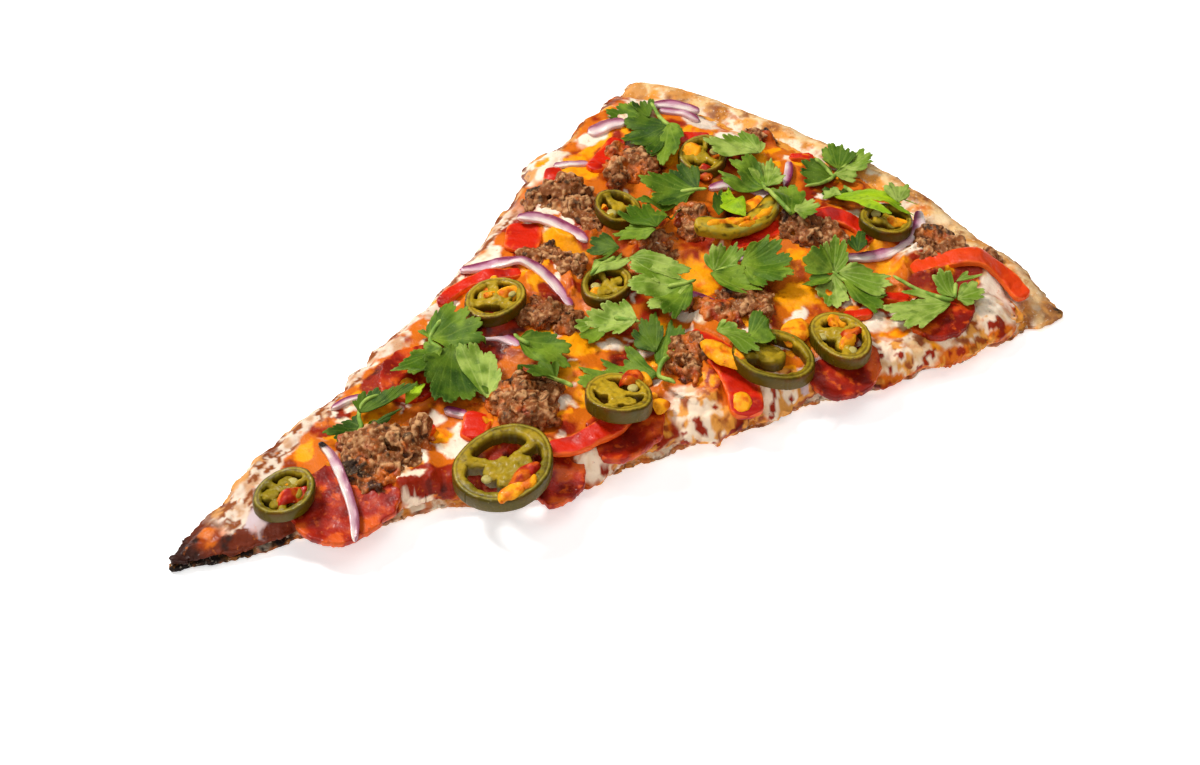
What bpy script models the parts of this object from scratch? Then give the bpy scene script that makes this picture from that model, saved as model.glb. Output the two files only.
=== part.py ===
"""A slice of thin Mexican pizza: crust, sauce, melted cheese and loose toppings laid on each other.

The slice rests on its flat underside. Its tip points along -X, its rim along +X, and +Z is up.
Lengths in this file are millimetres measured from the tip on the underside, and angles are degrees
in plan from +X towards +Y. The meshes are metres, measured from the point of the underside that
lies BALANCE_X along the middle line, under the slice's middle.
"""

import math

import bmesh
import bpy
import numpy as np
from mathutils import Vector
from mathutils.bvhtree import BVHTree
from mathutils.geometry import delaunay_2d_cdt

MM = 0.001
BALANCE_X = 120.0
SEED = 38

# The cut slice: two ragged straight cuts from the tip, and the round rim between them.
TIP = (-0.4, -1.8)
LEFT_CORNER = (171.0, 56.0)
RIGHT_CORNER = (191.5, -66.5)
LEFT_CUT_BOW = (
    (0, 0.0), (12, 0.2), (33, 0.3), (44, -0.9), (54, -2.6), (76, -3.2), (100, -3.4), (112, -2.6),
    (122, -0.9), (134, -0.6), (148, -0.8), (166, -0.9), (181, 0.0),
)
RIGHT_CUT_BOW = (
    (0, 0.0), (12, 1.0), (24, 1.0), (34, 2.4), (54, 3.4), (64, 6.0), (76, 9.0), (88, 8.6),
    (100, 7.2), (110, 5.0), (120, 6.4), (130, 5.6), (140, 4.0), (152, 4.4), (166, 3.4),
    (178, 3.6), (190, 0.6), (203, 0.0),
)
# Radius of the rim from the tip, at angles in plan.
RIM_RADIUS = (
    (-19, 202.0), (-15, 201.8), (-11, 198.2), (-3, 195.6), (3, 191.2), (9, 187.4), (14, 185.0),
    (19, 180.0),
)
NOMINAL_RADIUS = 190.0
CUT_PITCH = 4.3
RIM_PITCH = 4.2
RAGGED = 0.55

# Layers, from the underside up.
BASE_THICK = 3.4
TIP_THICK = 2.0
TIP_TAPER = (8.0, 40.0)
RIM_BAND = 9.5
RIM_RISE = 1.3
CORNER_THICK = 1.9
GAP = 0.35
SAUCE_THICK = 0.7
SAUCE_TO_RIM = 8.2
CHEESE_TO_RIM = 9.6
CHEESE_THICK = 1.5
CHEESE_RELIEF = 0.75
CHEESE_THIN = 0.6
CHEESE_TIP = (2.0, 24.0)
CHEESE_PITCH = 5.6
BED_PITCH = 17.0
BED_TO_RIM = 13.0
SAUCE_PITCH = 15.0
# Rows of surface points along the rim: distances in from its edge, and their step in degrees.
RIM_ROWS = (2.6, 5.4, 9.0)
RIM_ROW_STEP = 1.45
DRIP_CLEAR = 0.5

# Places along a cut, from the tip, where cheese runs over it: (middle, half width, reach, hang).
LEFT_LAPS = ((141, 8, 3.6, 1.2), (154, 6, 0.8, 0.6))
RIGHT_LAPS = (
    (40, 7, 1.2, 1.6), (86, 6, 2.4, 2.6), (115, 7, 2.2, 2.8), (131, 6, 1.4, 2.2),
    (157, 7, 2.4, 2.4), (171, 7, 2.8, 2.6), (184, 5, 1.6, 1.8),
)
# Mounds where the melted cheese lies thickest: (x, y, radius, extra height).
CHEESE_MOUNDS = (
    (53, -16, 11, 1.5), (103, -42, 8, 1.4), (127, 36, 10, 1.3), (152, -50, 9, 1.4),
    (174, -56, 9, 1.3), (100, -13, 7, 1.0), (143, -27, 7, 1.2), (163, 28, 8, 1.0),
    (30, 4, 6, 0.5), (60, 12, 7, 0.6), (135, 30, 7, 1.2), (118, 14, 6, 0.9),
)
# Small bits baked into the cheese: (x, y, length, width, height, turn).
BAKED_BITS = (
    (66.5, -15.5, 7.5, 6.5, 3.0, 60), (57.5, -9.5, 5.0, 4.0, 2.0, 30), (117.0, -37.5, 11.0, 4.6, 2.4, 80),
    (176.5, 15.0, 8.0, 5.0, 3.4, 10), (182.5, -48.0, 7.5, 5.5, 3.2, 0), (163.5, 26.0, 8.5, 4.0, 2.0, -42),
    (145.0, -13.0, 5.0, 3.2, 1.8, 10), (128.0, 37.0, 8.5, 3.6, 1.8, -10), (150.5, 42.0, 7.0, 4.0, 1.6, 40),
    (173.5, -14.5, 10.0, 6.0, 2.2, 0), (180.0, 5.5, 6.0, 3.2, 1.8, -30), (151.0, -43.0, 6.5, 3.6, 2.0, 0),
    (130.5, 3.0, 9.0, 7.5, 2.6, 40), (172.0, 1.5, 8.0, 2.6, 1.8, 25), (60.0, 6.0, 8.0, 3.0, 1.6, 15),
    (84.5, -32.0, 8.0, 2.6, 2.0, 40), (169.0, 31.0, 7.0, 3.0, 1.8, -60), (126.0, -47.5, 6.5, 4.2, 2.0, 10),
)

# Thin cured slices: name, x, y, length, width, turn.
CURED_SLICES = (
    ("cured_slice_tip", 33.5, -15.0, 23.0, 19.0, 10),
    ("cured_slice_near_left", 71.0, -36.5, 13.5, 11.5, 30),
    ("cured_slice_near_middle", 90.0, -37.0, 19.0, 13.0, 12),
    ("cured_slice_far", 66.0, 5.0, 17.0, 13.0, 15),
    ("cured_slice_near_right", 138.0, -53.0, 16.0, 12.0, 5),
    ("cured_slice_corner", 165.0, -54.0, 16.0, 13.0, -5),
)

# Roasted pepper strips: name, width, centre line.
PEPPER_STRIPS = (
    ("pepper_strip_near_jalapeno", 4.6, (
        (72.5, -32.0), (77.0, -35.0), (82.0, -36.0), (87.0, -36.5), (92.5, -35.0),
    )),
    ("pepper_strip_near_cut", 7.5, (
        (118.0, -23.5), (119.5, -30.0), (118.0, -37.5), (116.0, -44.0), (112.0, -50.5),
    )),
    ("pepper_strip_far_left", 3.2, ((83.5, 19.5), (89.5, 20.5), (96.0, 19.0), (103.0, 14.5))),
    ("pepper_chunk_far", 8.0, ((107.5, 21.0), (111.0, 24.0), (114.5, 28.0))),
    ("pepper_strip_corner", 4.8, (
        (169.5, -40.0), (174.0, -41.5), (179.0, -45.0), (183.0, -49.5), (185.5, -55.0), (185.0, -61.5),
    )),
    ("pepper_strip_middle", 4.2, (
        (144.0, -10.0), (153.0, -10.0), (162.0, -11.5), (169.0, -15.5), (172.0, -21.5), (170.5, -27.5),
    )),
    ("pepper_strip_far_right", 4.6, ((137.5, 31.5), (143.5, 34.0), (150.5, 37.0))),
)
PEPPER_THICK = 1.7

# Red onion strips: name, width, centre line.
ONION_STRIPS = (
    ("onion_strip_tip", 2.8, (
        (38.5, 1.5), (38.0, -3.0), (36.5, -7.5), (34.5, -13.5), (31.5, -20.5), (28.0, -25.5),
    )),
    ("onion_strip_far_short", 3.8, ((112.5, 28.5), (117.0, 25.0), (120.5, 19.5), (120.5, 13.0))),
    ("onion_strip_far_long", 3.2, (
        (93.5, 24.5), (98.5, 22.5), (102.5, 19.5), (105.5, 14.5), (106.8, 7.5), (104.8, 0.0),
    )),
    ("onion_ring_middle", 3.2, (
        (153.5, 9.5), (158.0, 8.6), (161.5, 5.5), (163.2, 1.5), (162.6, -2.5),
    )),
    ("onion_strip_middle", 3.8, ((127.0, -12.5), (128.0, -16.5), (129.8, -21.5))),
    ("onion_strip_near_rim", 3.4, (
        (160.5, -28.5), (165.5, -31.5), (172.5, -33.2), (180.0, -31.5), (187.0, -27.0),
    )),
    ("onion_strip_corner_left", 2.8, ((165.0, 43.0), (169.0, 40.5), (171.5, 37.0), (172.8, 33.5))),
)
ONION_THICK = 1.3

# Browned beef: name, x, y, length, width, height, turn.
BEEF_PIECES = (
    ("beef_tip", 42.0, -16.5, 19.0, 14.5, 6.2, -5),
    ("beef_lower_left", 78.0, -20.5, 16.0, 13.0, 5.6, 20),
    ("beef_centre_left", 96.0, -1.5, 15.0, 12.0, 5.4, 35),
    ("beef_centre", 106.5, 10.0, 12.0, 9.5, 5.2, 80),
    ("beef_far_middle", 122.0, 21.0, 14.5, 10.0, 5.8, 108),
    ("beef_far_right", 138.5, 23.0, 18.0, 11.0, 5.2, 0),
    ("beef_small_centre", 130.0, 0.0, 10.0, 9.0, 4.6, 0),
    ("beef_centre_right", 142.0, 1.5, 13.0, 10.0, 5.4, 30),
    ("beef_lower_middle", 128.5, -27.0, 18.0, 11.0, 4.8, -10),
    ("beef_near_cut", 109.5, -35.0, 12.5, 10.5, 5.4, 45),
    ("beef_near_rim", 158.5, -18.0, 14.0, 10.5, 5.8, -20),
    ("beef_rim", 178.0, -41.5, 16.0, 11.0, 5.0, -12),
)

# Pickled jalapeno slices: name, x, y, length, width, thickness, turn, share of the core.
JALAPENO_SLICES = (
    ("jalapeno_tip", 24.0, -7.0, 13.0, 12.4, 2.8, 0, 0.42),
    ("jalapeno_large", 61.5, -31.5, 21.5, 20.0, 3.4, 15, 0.44),
    ("jalapeno_near_middle", 90.5, -33.5, 16.0, 14.0, 4.0, 60, 0.46),
    ("jalapeno_far_left", 91.5, 9.5, 14.0, 12.6, 3.0, 0, 0.46),
    ("jalapeno_centre", 114.5, -1.0, 12.0, 10.6, 2.8, 10, 0.46),
    ("jalapeno_near_ring", 125.5, -43.5, 18.0, 16.4, 3.4, -20, 0.40),
    ("jalapeno_near_oval", 141.0, -48.0, 17.0, 11.0, 3.2, 80, 0.46),
    ("jalapeno_near_rim", 176.0, -26.5, 12.6, 11.6, 2.8, 0, 0.44),
    ("jalapeno_far_right", 160.5, 18.5, 12.4, 11.0, 2.8, 20, 0.46),
    ("jalapeno_far_small", 131.0, 14.5, 11.0, 10.0, 2.8, 0, 0.46),
)
# A slice that stands on its edge shows only its curved wall.
JALAPENO_EDGE = (
    "jalapeno_edge", 5.6, ((139.0, -2.5), (145.0, -6.0), (151.0, -7.2), (157.0, -6.5), (162.5, -3.5)),
)
JALAPENO_EDGE_THICK = 2.6
JALAPENO_SIDES = 18
JALAPENO_CELLS = 3
# A slice's flesh wall starts at this share of its radius, and each cell fills this share of a third.
JALAPENO_WALL = 0.76
JALAPENO_CELL_SPAN = (0.13, 0.87)

# Cilantro sprigs: name, curl, leaflets (x, y, length, width, heading) and stems (lines of points).
CILANTRO_SPRIGS = (
    (
        "cilantro_tip", 3.0,
        ((42.5, -2.0, 11.0, 6.4, 185), (55.0, 3.0, 13.0, 9.0, 5), (62.5, 1.0, 8.0, 3.6, 8)),
        (((46.5, 2.5), (47.5, -1.0), (46.5, -4.5), (45.0, -7.5)), ((46.0, -1.8), (49.0, 0.5), (52.0, 2.0))),
    ),
    (
        "cilantro_large", 3.2,
        (
            (63.5, 5.5, 9.0, 6.5, 165), (74.0, 9.5, 14.0, 12.0, 105), (81.5, 9.0, 15.0, 11.0, 62),
            (71.5, -2.5, 18.0, 19.0, 262),
        ),
        (
            ((65.0, 5.4), (71.0, 6.5)),
            ((74.2, 5.0), (73.6, 0.0)),
        ),
    ),
    (
        "cilantro_lower_left", 2.4,
        ((91.5, -9.0, 14.0, 10.5, 100), (82.5, -18.0, 11.0, 4.6, 200)),
        (((92.2, -14.0), (90.5, -18.0), (86.0, -17.2)),),
    ),
    (
        "cilantro_middle", 2.4,
        ((108.5, -8.5, 15.5, 12.5, 12), (102.0, -9.0, 9.0, 7.0, 150)),
        (((108.0, -8.6), (104.5, -10.0), (101.5, -8.8)),),
    ),
    (
        "cilantro_near_middle", 2.4,
        ((96.5, -22.5, 15.0, 7.0, 165), (110.5, -19.5, 17.0, 13.0, 35), (102.5, -30.5, 10.0, 7.5, 262)),
        (
            ((98.5, -23.0), (103.4, -24.6), (108.0, -21.5)),
            ((103.4, -24.0), (103.0, -30.0), (102.4, -35.0), (103.6, -39.5)),
        ),
    ),
    (
        "cilantro_centre", 2.6,
        ((125.5, -5.0, 13.0, 11.5, 330), (120.0, -13.5, 15.0, 10.0, 262), (120.5, 9.0, 9.0, 8.0, 95)),
        (
            ((111.0, 1.5), (116.5, 1.5), (121.5, -2.5)),
            ((120.8, 7.0), (120.4, 1.0), (120.6, -3.5), (120.8, -9.0)),
        ),
    ),
    (
        "cilantro_right_middle", 2.6,
        ((141.0, -11.0, 13.0, 9.5, 25), (138.0, -20.0, 13.0, 8.0, 255), (148.0, -18.0, 15.0, 13.5, 330)),
        (((137.0, -13.0), (140.0, -14.4), (144.5, -16.0)),),
    ),
    (
        "cilantro_far_middle", 2.6,
        ((131.5, 9.0, 15.0, 11.5, 195), (147.5, 14.0, 17.0, 14.0, 40)),
        (((135.5, 10.2), (139.5, 9.0), (144.0, 11.0)),),
    ),
    (
        "cilantro_far_rim", 2.4,
        ((156.0, 31.5, 19.0, 13.5, 268), (156.0, 43.5, 11.0, 8.0, 95), (162.5, 42.5, 8.5, 6.0, 12)),
        (((156.2, 35.0), (156.4, 40.5), (158.0, 42.0), (162.5, 42.5)),),
    ),
    (
        "cilantro_rim_far", 2.4,
        (
            (168.0, 16.5, 14.0, 11.5, 58), (163.0, 10.5, 11.0, 8.0, 165), (166.5, 4.5, 14.0, 9.5, 5),
            (163.5, -8.5, 14.0, 9.0, 262),
        ),
        (((166.0, 2.0), (165.0, -2.0), (164.0, -6.0)),),
    ),
    (
        "cilantro_curled", 4.0,
        ((152.0, 3.0, 11.0, 5.6, 215),),
        (((151.5, 2.6), (153.8, -1.5), (153.2, -6.0)),),
    ),
    (
        "cilantro_rim_middle", 2.4,
        ((176.5, -1.5, 9.0, 8.5, 110), (187.0, -1.5, 13.0, 11.0, 12), (180.0, -24.5, 22.0, 11.5, 318)),
        (
            ((169.0, -7.5), (175.0, -8.0), (180.0, -5.5), (185.0, -2.5)),
            ((177.2, -3.5), (176.0, -8.0), (174.2, -13.0), (174.8, -19.5)),
        ),
    ),
    (
        "cilantro_near_right", 2.6,
        (
            (159.5, -26.5, 12.0, 9.0, 60), (151.5, -28.5, 9.0, 5.4, 160), (150.5, -36.5, 12.0, 7.0, 225),
            (159.0, -37.5, 13.5, 8.0, 285), (161.0, -49.5, 15.5, 12.5, 185),
            (174.0, -52.0, 12.5, 10.0, 350),
        ),
        (
            (
                (155.8, -30.0), (157.5, -36.0), (160.5, -42.0), (165.0, -47.0), (168.5, -51.5),
                (172.0, -52.0),
            ),
            ((151.8, -35.0), (156.0, -31.5)),
        ),
    ),
    (
        "cilantro_near_small", 2.0,
        ((122.5, -36.0, 12.5, 6.0, 95),),
        (),
    ),
)
STEM_WIDTH = 1.4
LEAF_THICK = 0.5
STEM_GRID = 3.6

COLOURS = {
    "crust": (0.74, 0.52, 0.29, 0.85),
    "sauce": (0.42, 0.055, 0.015, 0.35),
    "cheese": (0.86, 0.70, 0.44, 0.40),
    "cured": (0.47, 0.05, 0.025, 0.35),
    "pepper": (0.66, 0.045, 0.015, 0.30),
    "onion": (0.72, 0.52, 0.60, 0.35),
    "beef": (0.24, 0.115, 0.06, 0.70),
    "jalapeno": (0.24, 0.22, 0.035, 0.30),
    "cilantro": (0.16, 0.34, 0.06, 0.55),
}


def unit(vector):
    return vector / np.maximum(np.linalg.norm(vector, axis=-1, keepdims=True), 1e-9)


def ramp(value, low, high):
    """0 at low, 1 at high, smooth between them."""
    t = np.clip((value - low) / (high - low), 0.0, 1.0)
    return t * t * (3 - 2 * t)


def resample(points, pitch):
    """Points a pitch apart along a line, with both ends kept."""
    points = np.asarray(points, float)
    along = np.concatenate([[0], np.cumsum(np.linalg.norm(np.diff(points, axis=0), axis=1))])
    count = max(2, int(round(along[-1] / pitch)) + 1)
    at = np.linspace(0, along[-1], count)
    return np.stack([np.interp(at, along, points[:, k]) for k in (0, 1)], axis=1)


def smooth_line(points, pitch):
    """A Catmull-Rom curve through the points, resampled to the pitch."""
    p = np.asarray(points, float)
    p = np.vstack([2 * p[0] - p[1], p, 2 * p[-1] - p[-2]])
    t = np.linspace(0, 1, 9)[:-1, None]
    pieces = [
        0.5 * (
            2 * p[i] + (p[i + 1] - p[i - 1]) * t
            + (2 * p[i - 1] - 5 * p[i] + 4 * p[i + 1] - p[i + 2]) * t**2
            + (3 * p[i] - p[i - 1] - 3 * p[i + 1] + p[i + 2]) * t**3
        )
        for i in range(1, len(p) - 2)
    ]
    return resample(np.vstack(pieces + [p[-2:-1]]), pitch)


def inward_offset(loop, distance):
    """A closed anticlockwise loop moved inwards, by a single distance or one for each point."""
    before, after = np.roll(loop, 1, axis=0), np.roll(loop, -1, axis=0)
    tangent = unit(after - before)
    inward = np.stack([-tangent[:, 1], tangent[:, 0]], axis=1)
    return loop + inward * np.broadcast_to(distance, len(loop))[:, None]


def waves(x, y, length, seed):
    """Smooth seeded relief between about -1 and 1, from a few crossing sine waves."""
    rng = np.random.default_rng(seed)
    total = np.zeros(np.shape(x))
    for _ in range(6):
        heading, phase = rng.uniform(0, 2 * math.pi, 2)
        stretch = rng.uniform(0.7, 1.5)
        across = x * math.cos(heading) + y * math.sin(heading)
        total += np.sin(across * 2 * math.pi / (length * stretch) + phase)
    return total / 3.0


def rim_radius(x, y):
    angles, radii = np.array(RIM_RADIUS).T
    return np.interp(np.degrees(np.arctan2(y, x)), angles, radii)


def rim_distance(x, y):
    return rim_radius(x, y) - np.hypot(x, y)


def base_height(x, y):
    """Top of the crust under the sauce, thinner towards the tip."""
    start, end = TIP_TAPER
    return TIP_THICK + (BASE_THICK - TIP_THICK) * np.clip((x - start) / (end - start), 0, 1)


def crust_height(x, y):
    """Top of the crust with its low round rim, its blisters and its thin right corner."""
    reach = rim_distance(x, y)
    rise = RIM_RISE * ramp(RIM_BAND - reach, 0, 5.0) - 1.5 * ramp(2.2 - reach, 0, 2.2)
    blister = 0.5 * np.maximum(waves(x, y, 17.0, 5), 0) * ramp(RIM_BAND - 1.5 - reach, 0, 3)
    to_corner = np.hypot(x - RIGHT_CORNER[0], y - RIGHT_CORNER[1])
    thin = ramp(16.0 - to_corner, 0, 16.0) * ramp(RIM_BAND + 1.0 - reach, 0, 3.0)
    return base_height(x, y) + (rise + blister) * (1 - thin) + (CORNER_THICK - BASE_THICK) * thin


class Outline:
    """The slice's edge as one anticlockwise loop: right cut from the tip, rim, left cut to the tip."""

    def __init__(self, to_rim=0.0):
        self.right = self.cut(RIGHT_CORNER, RIGHT_CUT_BOW, -1.0, SEED)
        self.left = self.cut(LEFT_CORNER, LEFT_CUT_BOW, 1.0, SEED + 1)
        self.right_along = np.arange(len(self.right)) * CUT_PITCH
        self.left_along = np.arange(len(self.left)) * CUT_PITCH
        if to_rim:
            keep_right = rim_distance(*self.right.T) > to_rim
            keep_left = rim_distance(*self.left.T) > to_rim
            self.right, self.right_along = self.right[keep_right], self.right_along[keep_right]
            self.left, self.left_along = self.left[keep_left], self.left_along[keep_left]
        self.rim = self.arc(to_rim)
        self.loop = np.vstack([self.right, self.rim, self.left[:0:-1]])

    @staticmethod
    def cut(corner, bow, side, seed):
        start, end = np.array(TIP), np.array(corner)
        length = np.linalg.norm(end - start)
        along = np.arange(0, length - CUT_PITCH * 0.6, CUT_PITCH)
        heading = (end - start) / length
        outward = np.array([-heading[1], heading[0]]) * side
        at, out = np.array(bow, float).T
        rough = np.random.default_rng(seed).normal(0, RAGGED, len(along))
        rough[0] = 0.0
        offset = np.interp(along, at, out) + rough
        return start + along[:, None] * heading + offset[:, None] * outward

    def arc(self, to_rim):
        ends = [np.arctan2(p[1], p[0]) for p in (RIGHT_CORNER, LEFT_CORNER)]
        if to_rim:
            ends = [np.arctan2(p[1], p[0]) for p in (self.right[-1], self.left[-1])]
        count = int((ends[1] - ends[0]) * NOMINAL_RADIUS / RIM_PITCH)
        angle = np.linspace(ends[0], ends[1], count)
        if to_rim:
            angle = angle[1:-1]
        x, y = np.cos(angle) * NOMINAL_RADIUS, np.sin(angle) * NOMINAL_RADIUS
        sway = waves(x, y, 21.0, 9) * 1.1 if to_rim else waves(x, y, 14.0, 11) * 0.35
        radius = rim_radius(x, y) - to_rim + sway
        if not to_rim:
            radius[0], radius[-1] = np.hypot(*RIGHT_CORNER), np.hypot(*LEFT_CORNER)
        return np.stack([np.cos(angle) * radius, np.sin(angle) * radius], axis=1)


class Plan:
    """A flat shape filled with triangles: points, anticlockwise triangles and directed border edges."""

    def __init__(self, outlines, inner=(), holes=()):
        points, faces = [], []
        for outline in list(outlines) + list(holes):
            faces.append(list(range(len(points), len(points) + len(outline))))
            points += [tuple(p) for p in outline]
        points += [tuple(p) for p in inner]
        made = delaunay_2d_cdt([Vector(p) for p in points], [], faces, 1, 1e-5)
        self.points = np.array([tuple(p) for p in made[0]])
        triangles = np.array([face for face in made[2] if len(face) == 3])
        middle = self.points[triangles].mean(axis=1)
        keep = np.ones(len(triangles), bool)
        for hole in holes:
            keep &= ~inside(middle, np.asarray(hole))
        triangles = triangles[keep]
        a, b, c = (self.points[triangles[:, k]] for k in range(3))
        area = (b - a)[:, 0] * (c - a)[:, 1] - (b - a)[:, 1] * (c - a)[:, 0]
        triangles[area < 0] = triangles[area < 0][:, ::-1]
        self.tidy(triangles)

    def tidy(self, triangles):
        used, index = np.unique(triangles, return_inverse=True)
        self.points = self.points[used]
        self.triangles = index.reshape(-1, 3)
        edges = np.vstack([self.triangles[:, [0, 1]], self.triangles[:, [1, 2]], self.triangles[:, [2, 0]]])
        known = {tuple(edge) for edge in edges}
        self.border = np.array([edge for edge in edges if (edge[1], edge[0]) not in known])
        self.links = np.unique(np.sort(edges, axis=1), axis=0)
        starts = self.border[:, 0]
        if len(np.unique(starts)) != len(starts):
            raise ValueError("the outline touches itself at a point")

    def neighbour_mean(self, values):
        total, count = np.zeros(len(values)), np.zeros(len(values))
        for a, b in ((0, 1), (1, 0)):
            np.add.at(total, self.links[:, a], values[self.links[:, b]])
            np.add.at(count, self.links[:, a], 1)
        return total / count


def inside(points, loop):
    """Which points lie inside a closed loop, by counting crossings."""
    x, y = points[:, 0], points[:, 1]
    result = np.zeros(len(points), bool)
    for (x0, y0), (x1, y1) in zip(loop, np.roll(loop, -1, axis=0)):
        crosses = (y0 > y) != (y1 > y)
        with np.errstate(divide="ignore", invalid="ignore"):
            result ^= crosses & (x < (x1 - x0) * (y - y0) / (y1 - y0) + x0)
    return result


def band(low_a, low_b, high_a, high_b):
    """Two triangles for each quad between a lower and an upper edge."""
    return [np.column_stack([low_a, low_b, high_b]), np.column_stack([low_a, high_b, high_a])]


def slab(plan, bottom, top, belly=0.0):
    """Vertices and triangles between two heights over a plan, its side bulged out by belly."""
    count = len(plan.points)
    vertices = [np.column_stack([plan.points, bottom]), np.column_stack([plan.points, top])]
    a, b = plan.border.T
    faces = [plan.triangles[:, ::-1], plan.triangles + count]
    if belly:
        direction = plan.points[b] - plan.points[a]
        outward = np.zeros((count, 2))
        for ends in (a, b):
            np.add.at(outward, ends, np.column_stack([direction[:, 1], -direction[:, 0]]))
        ring = np.unique(a)
        place = np.full(count, -1)
        place[ring] = 2 * count + np.arange(len(ring))
        out = unit(outward[ring]) * belly
        vertices.append(np.column_stack([plan.points[ring] + out, 0.5 * (bottom[ring] + top[ring])]))
        for low, high in ((lambda i: i, lambda i: place[i]), (lambda i: place[i], lambda i: i + count)):
            faces += band(low(a), low(b), high(a), high(b))
    else:
        faces += band(a, b, a + count, b + count)
    return np.vstack(vertices), np.vstack(faces)


class Pile:
    """Everything laid so far, asked for its height at a point and for what a new piece touches."""

    ABOVE = 90.0

    def __init__(self):
        self.trees = []

    def add(self, vertices, faces):
        self.trees.append(BVHTree.FromPolygons(vertices.tolist(), faces.tolist()))

    def height(self, x, y):
        down, start = Vector((0, 0, -1)), Vector((x, y, self.ABOVE))
        hits = [tree.ray_cast(start, down)[0] for tree in self.trees]
        found = [hit.z for hit in hits if hit is not None]
        return max(found) if found else None

    def heights(self, points):
        found = [self.height(x, y) for x, y in points]
        return np.array([-1e3 if z is None else z for z in found])

    def touched(self, vertices, faces):
        mine = BVHTree.FromPolygons(vertices.tolist(), faces.tolist())
        return sorted({pair[0] for tree in self.trees for pair in mine.overlap(tree)})


class Topping:
    """A piece laid on the pile: its plan, the heights of both faces, and how it bends."""

    FLOOR = 0.6
    LIFT = 0.3
    ROUNDS = 80

    def __init__(self, plan, thickness, smooth, belly=0.0, hang=2.5, stiff=False, crown=None):
        self.plan = plan
        self.thickness = np.broadcast_to(thickness, len(plan.points)).astype(float)
        self.smooth, self.belly, self.hang, self.stiff = smooth, belly, hang, stiff
        self.crown = np.zeros(len(plan.points)) if crown is None else crown

    def rest(self, under):
        """Heights of the lower face over the heights under it: a plane if stiff, else a tight cloth."""
        held = under > -100
        points = self.plan.points
        if self.stiff:
            design = np.column_stack([points[held], np.ones(held.sum())])
            fit = np.linalg.lstsq(design, under[held], rcond=None)[0]
            tilt = min(1.0, 0.30 / max(np.hypot(*fit[:2]), 1e-6))
            middle = points[held].mean(axis=0)
            flat = (points - middle) @ (fit[:2] * tilt)
            return flat + (under - flat)[held].max()
        z = np.where(held, under, self.FLOOR)
        if not held.all():
            edge = np.linalg.norm(points[~held][:, None] - points[held][None], axis=2)
            nearest = edge.argmin(axis=1)
            z[~held] = under[held][nearest] - self.hang * (edge.min(axis=1) / 4.0) ** 1.2
            z[~held] = np.maximum(z[~held], self.FLOOR)
        lowest = z.copy()
        for _ in range(self.smooth):
            z = np.maximum(lowest, self.plan.neighbour_mean(z))
        return z

    def lay(self, pile):
        under = pile.heights(self.plan.points)
        under[under > -100] += GAP
        for _ in range(self.ROUNDS):
            bottom = self.rest(under)
            vertices, faces = self.mesh(bottom)
            lowered = vertices - np.array([0, 0, 0.8 * GAP])
            touched = pile.touched(lowered, faces)
            if not touched:
                return vertices, faces
            count = len(self.plan.points)
            owner = np.concatenate([np.tile(np.arange(count), 2), np.unique(self.plan.border[:, 0])])
            hit = np.unique(owner[faces[touched]])
            under[hit] = np.maximum(under[hit], bottom[hit]) + self.LIFT
        raise ValueError("the piece can't be laid clear of the pile")

    def mesh(self, bottom):
        level = bottom
        if self.crown.any():
            level = np.maximum(bottom, bottom.min() + 0.35 * (bottom.max() - bottom.min()))
        return slab(self.plan, bottom, level + self.thickness + self.crown, self.belly)


class Leaf(Topping):
    """A topping of even thickness whose whole sheet lifts by its curl."""

    def mesh(self, bottom):
        lifted = bottom + self.crown
        return slab(self.plan, lifted, lifted + self.thickness)


def place_object(name, vertices, faces, material, parent):
    """A mesh object whose origin is the middle of its box, hung from the slice's empty."""
    middle = np.append(0.5 * (vertices[:, :2].min(axis=0) + vertices[:, :2].max(axis=0)), 0.0)
    mesh = bpy.data.meshes.new(name)
    mesh.from_pydata(((vertices - middle) * MM).tolist(), [], faces.tolist())
    mesh.update()
    mesh.materials.append(material)
    piece = bpy.data.objects.new(name, mesh)
    bpy.context.scene.collection.objects.link(piece)
    piece.parent = parent
    piece.location = Vector((middle - np.array([BALANCE_X, 0, 0])) * MM)
    return piece


def make_material(name):
    red, green, blue, roughness = COLOURS[name]
    material = bpy.data.materials.new(name)
    material.use_nodes = True
    shader = material.node_tree.nodes["Principled BSDF"]
    shader.inputs["Base Color"].default_value = (red, green, blue, 1.0)
    shader.inputs["Roughness"].default_value = roughness
    shader.inputs["Metallic"].default_value = 0.0
    material.diffuse_color = (red, green, blue, 1.0)
    return material


def spread_points(loop, pitch, margin, seed):
    """Points about a pitch apart inside a loop, in shaken rows, no nearer to it than the margin."""
    rng = np.random.default_rng(seed)
    (x0, y0), (x1, y1) = loop.min(axis=0), loop.max(axis=0)
    rows = np.arange(y0, y1, pitch * 0.866)
    points = np.array([
        (x + (row % 2) * pitch / 2, y) for row, y in enumerate(rows) for x in np.arange(x0, x1, pitch)
    ])
    points += rng.uniform(-0.18, 0.18, points.shape) * pitch
    points = points[inside(points, loop)]
    apart = np.linalg.norm(points[:, None] - resample(np.vstack([loop, loop[:1]]), pitch / 3)[None], axis=2)
    return points[apart.min(axis=1) > margin]


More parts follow.
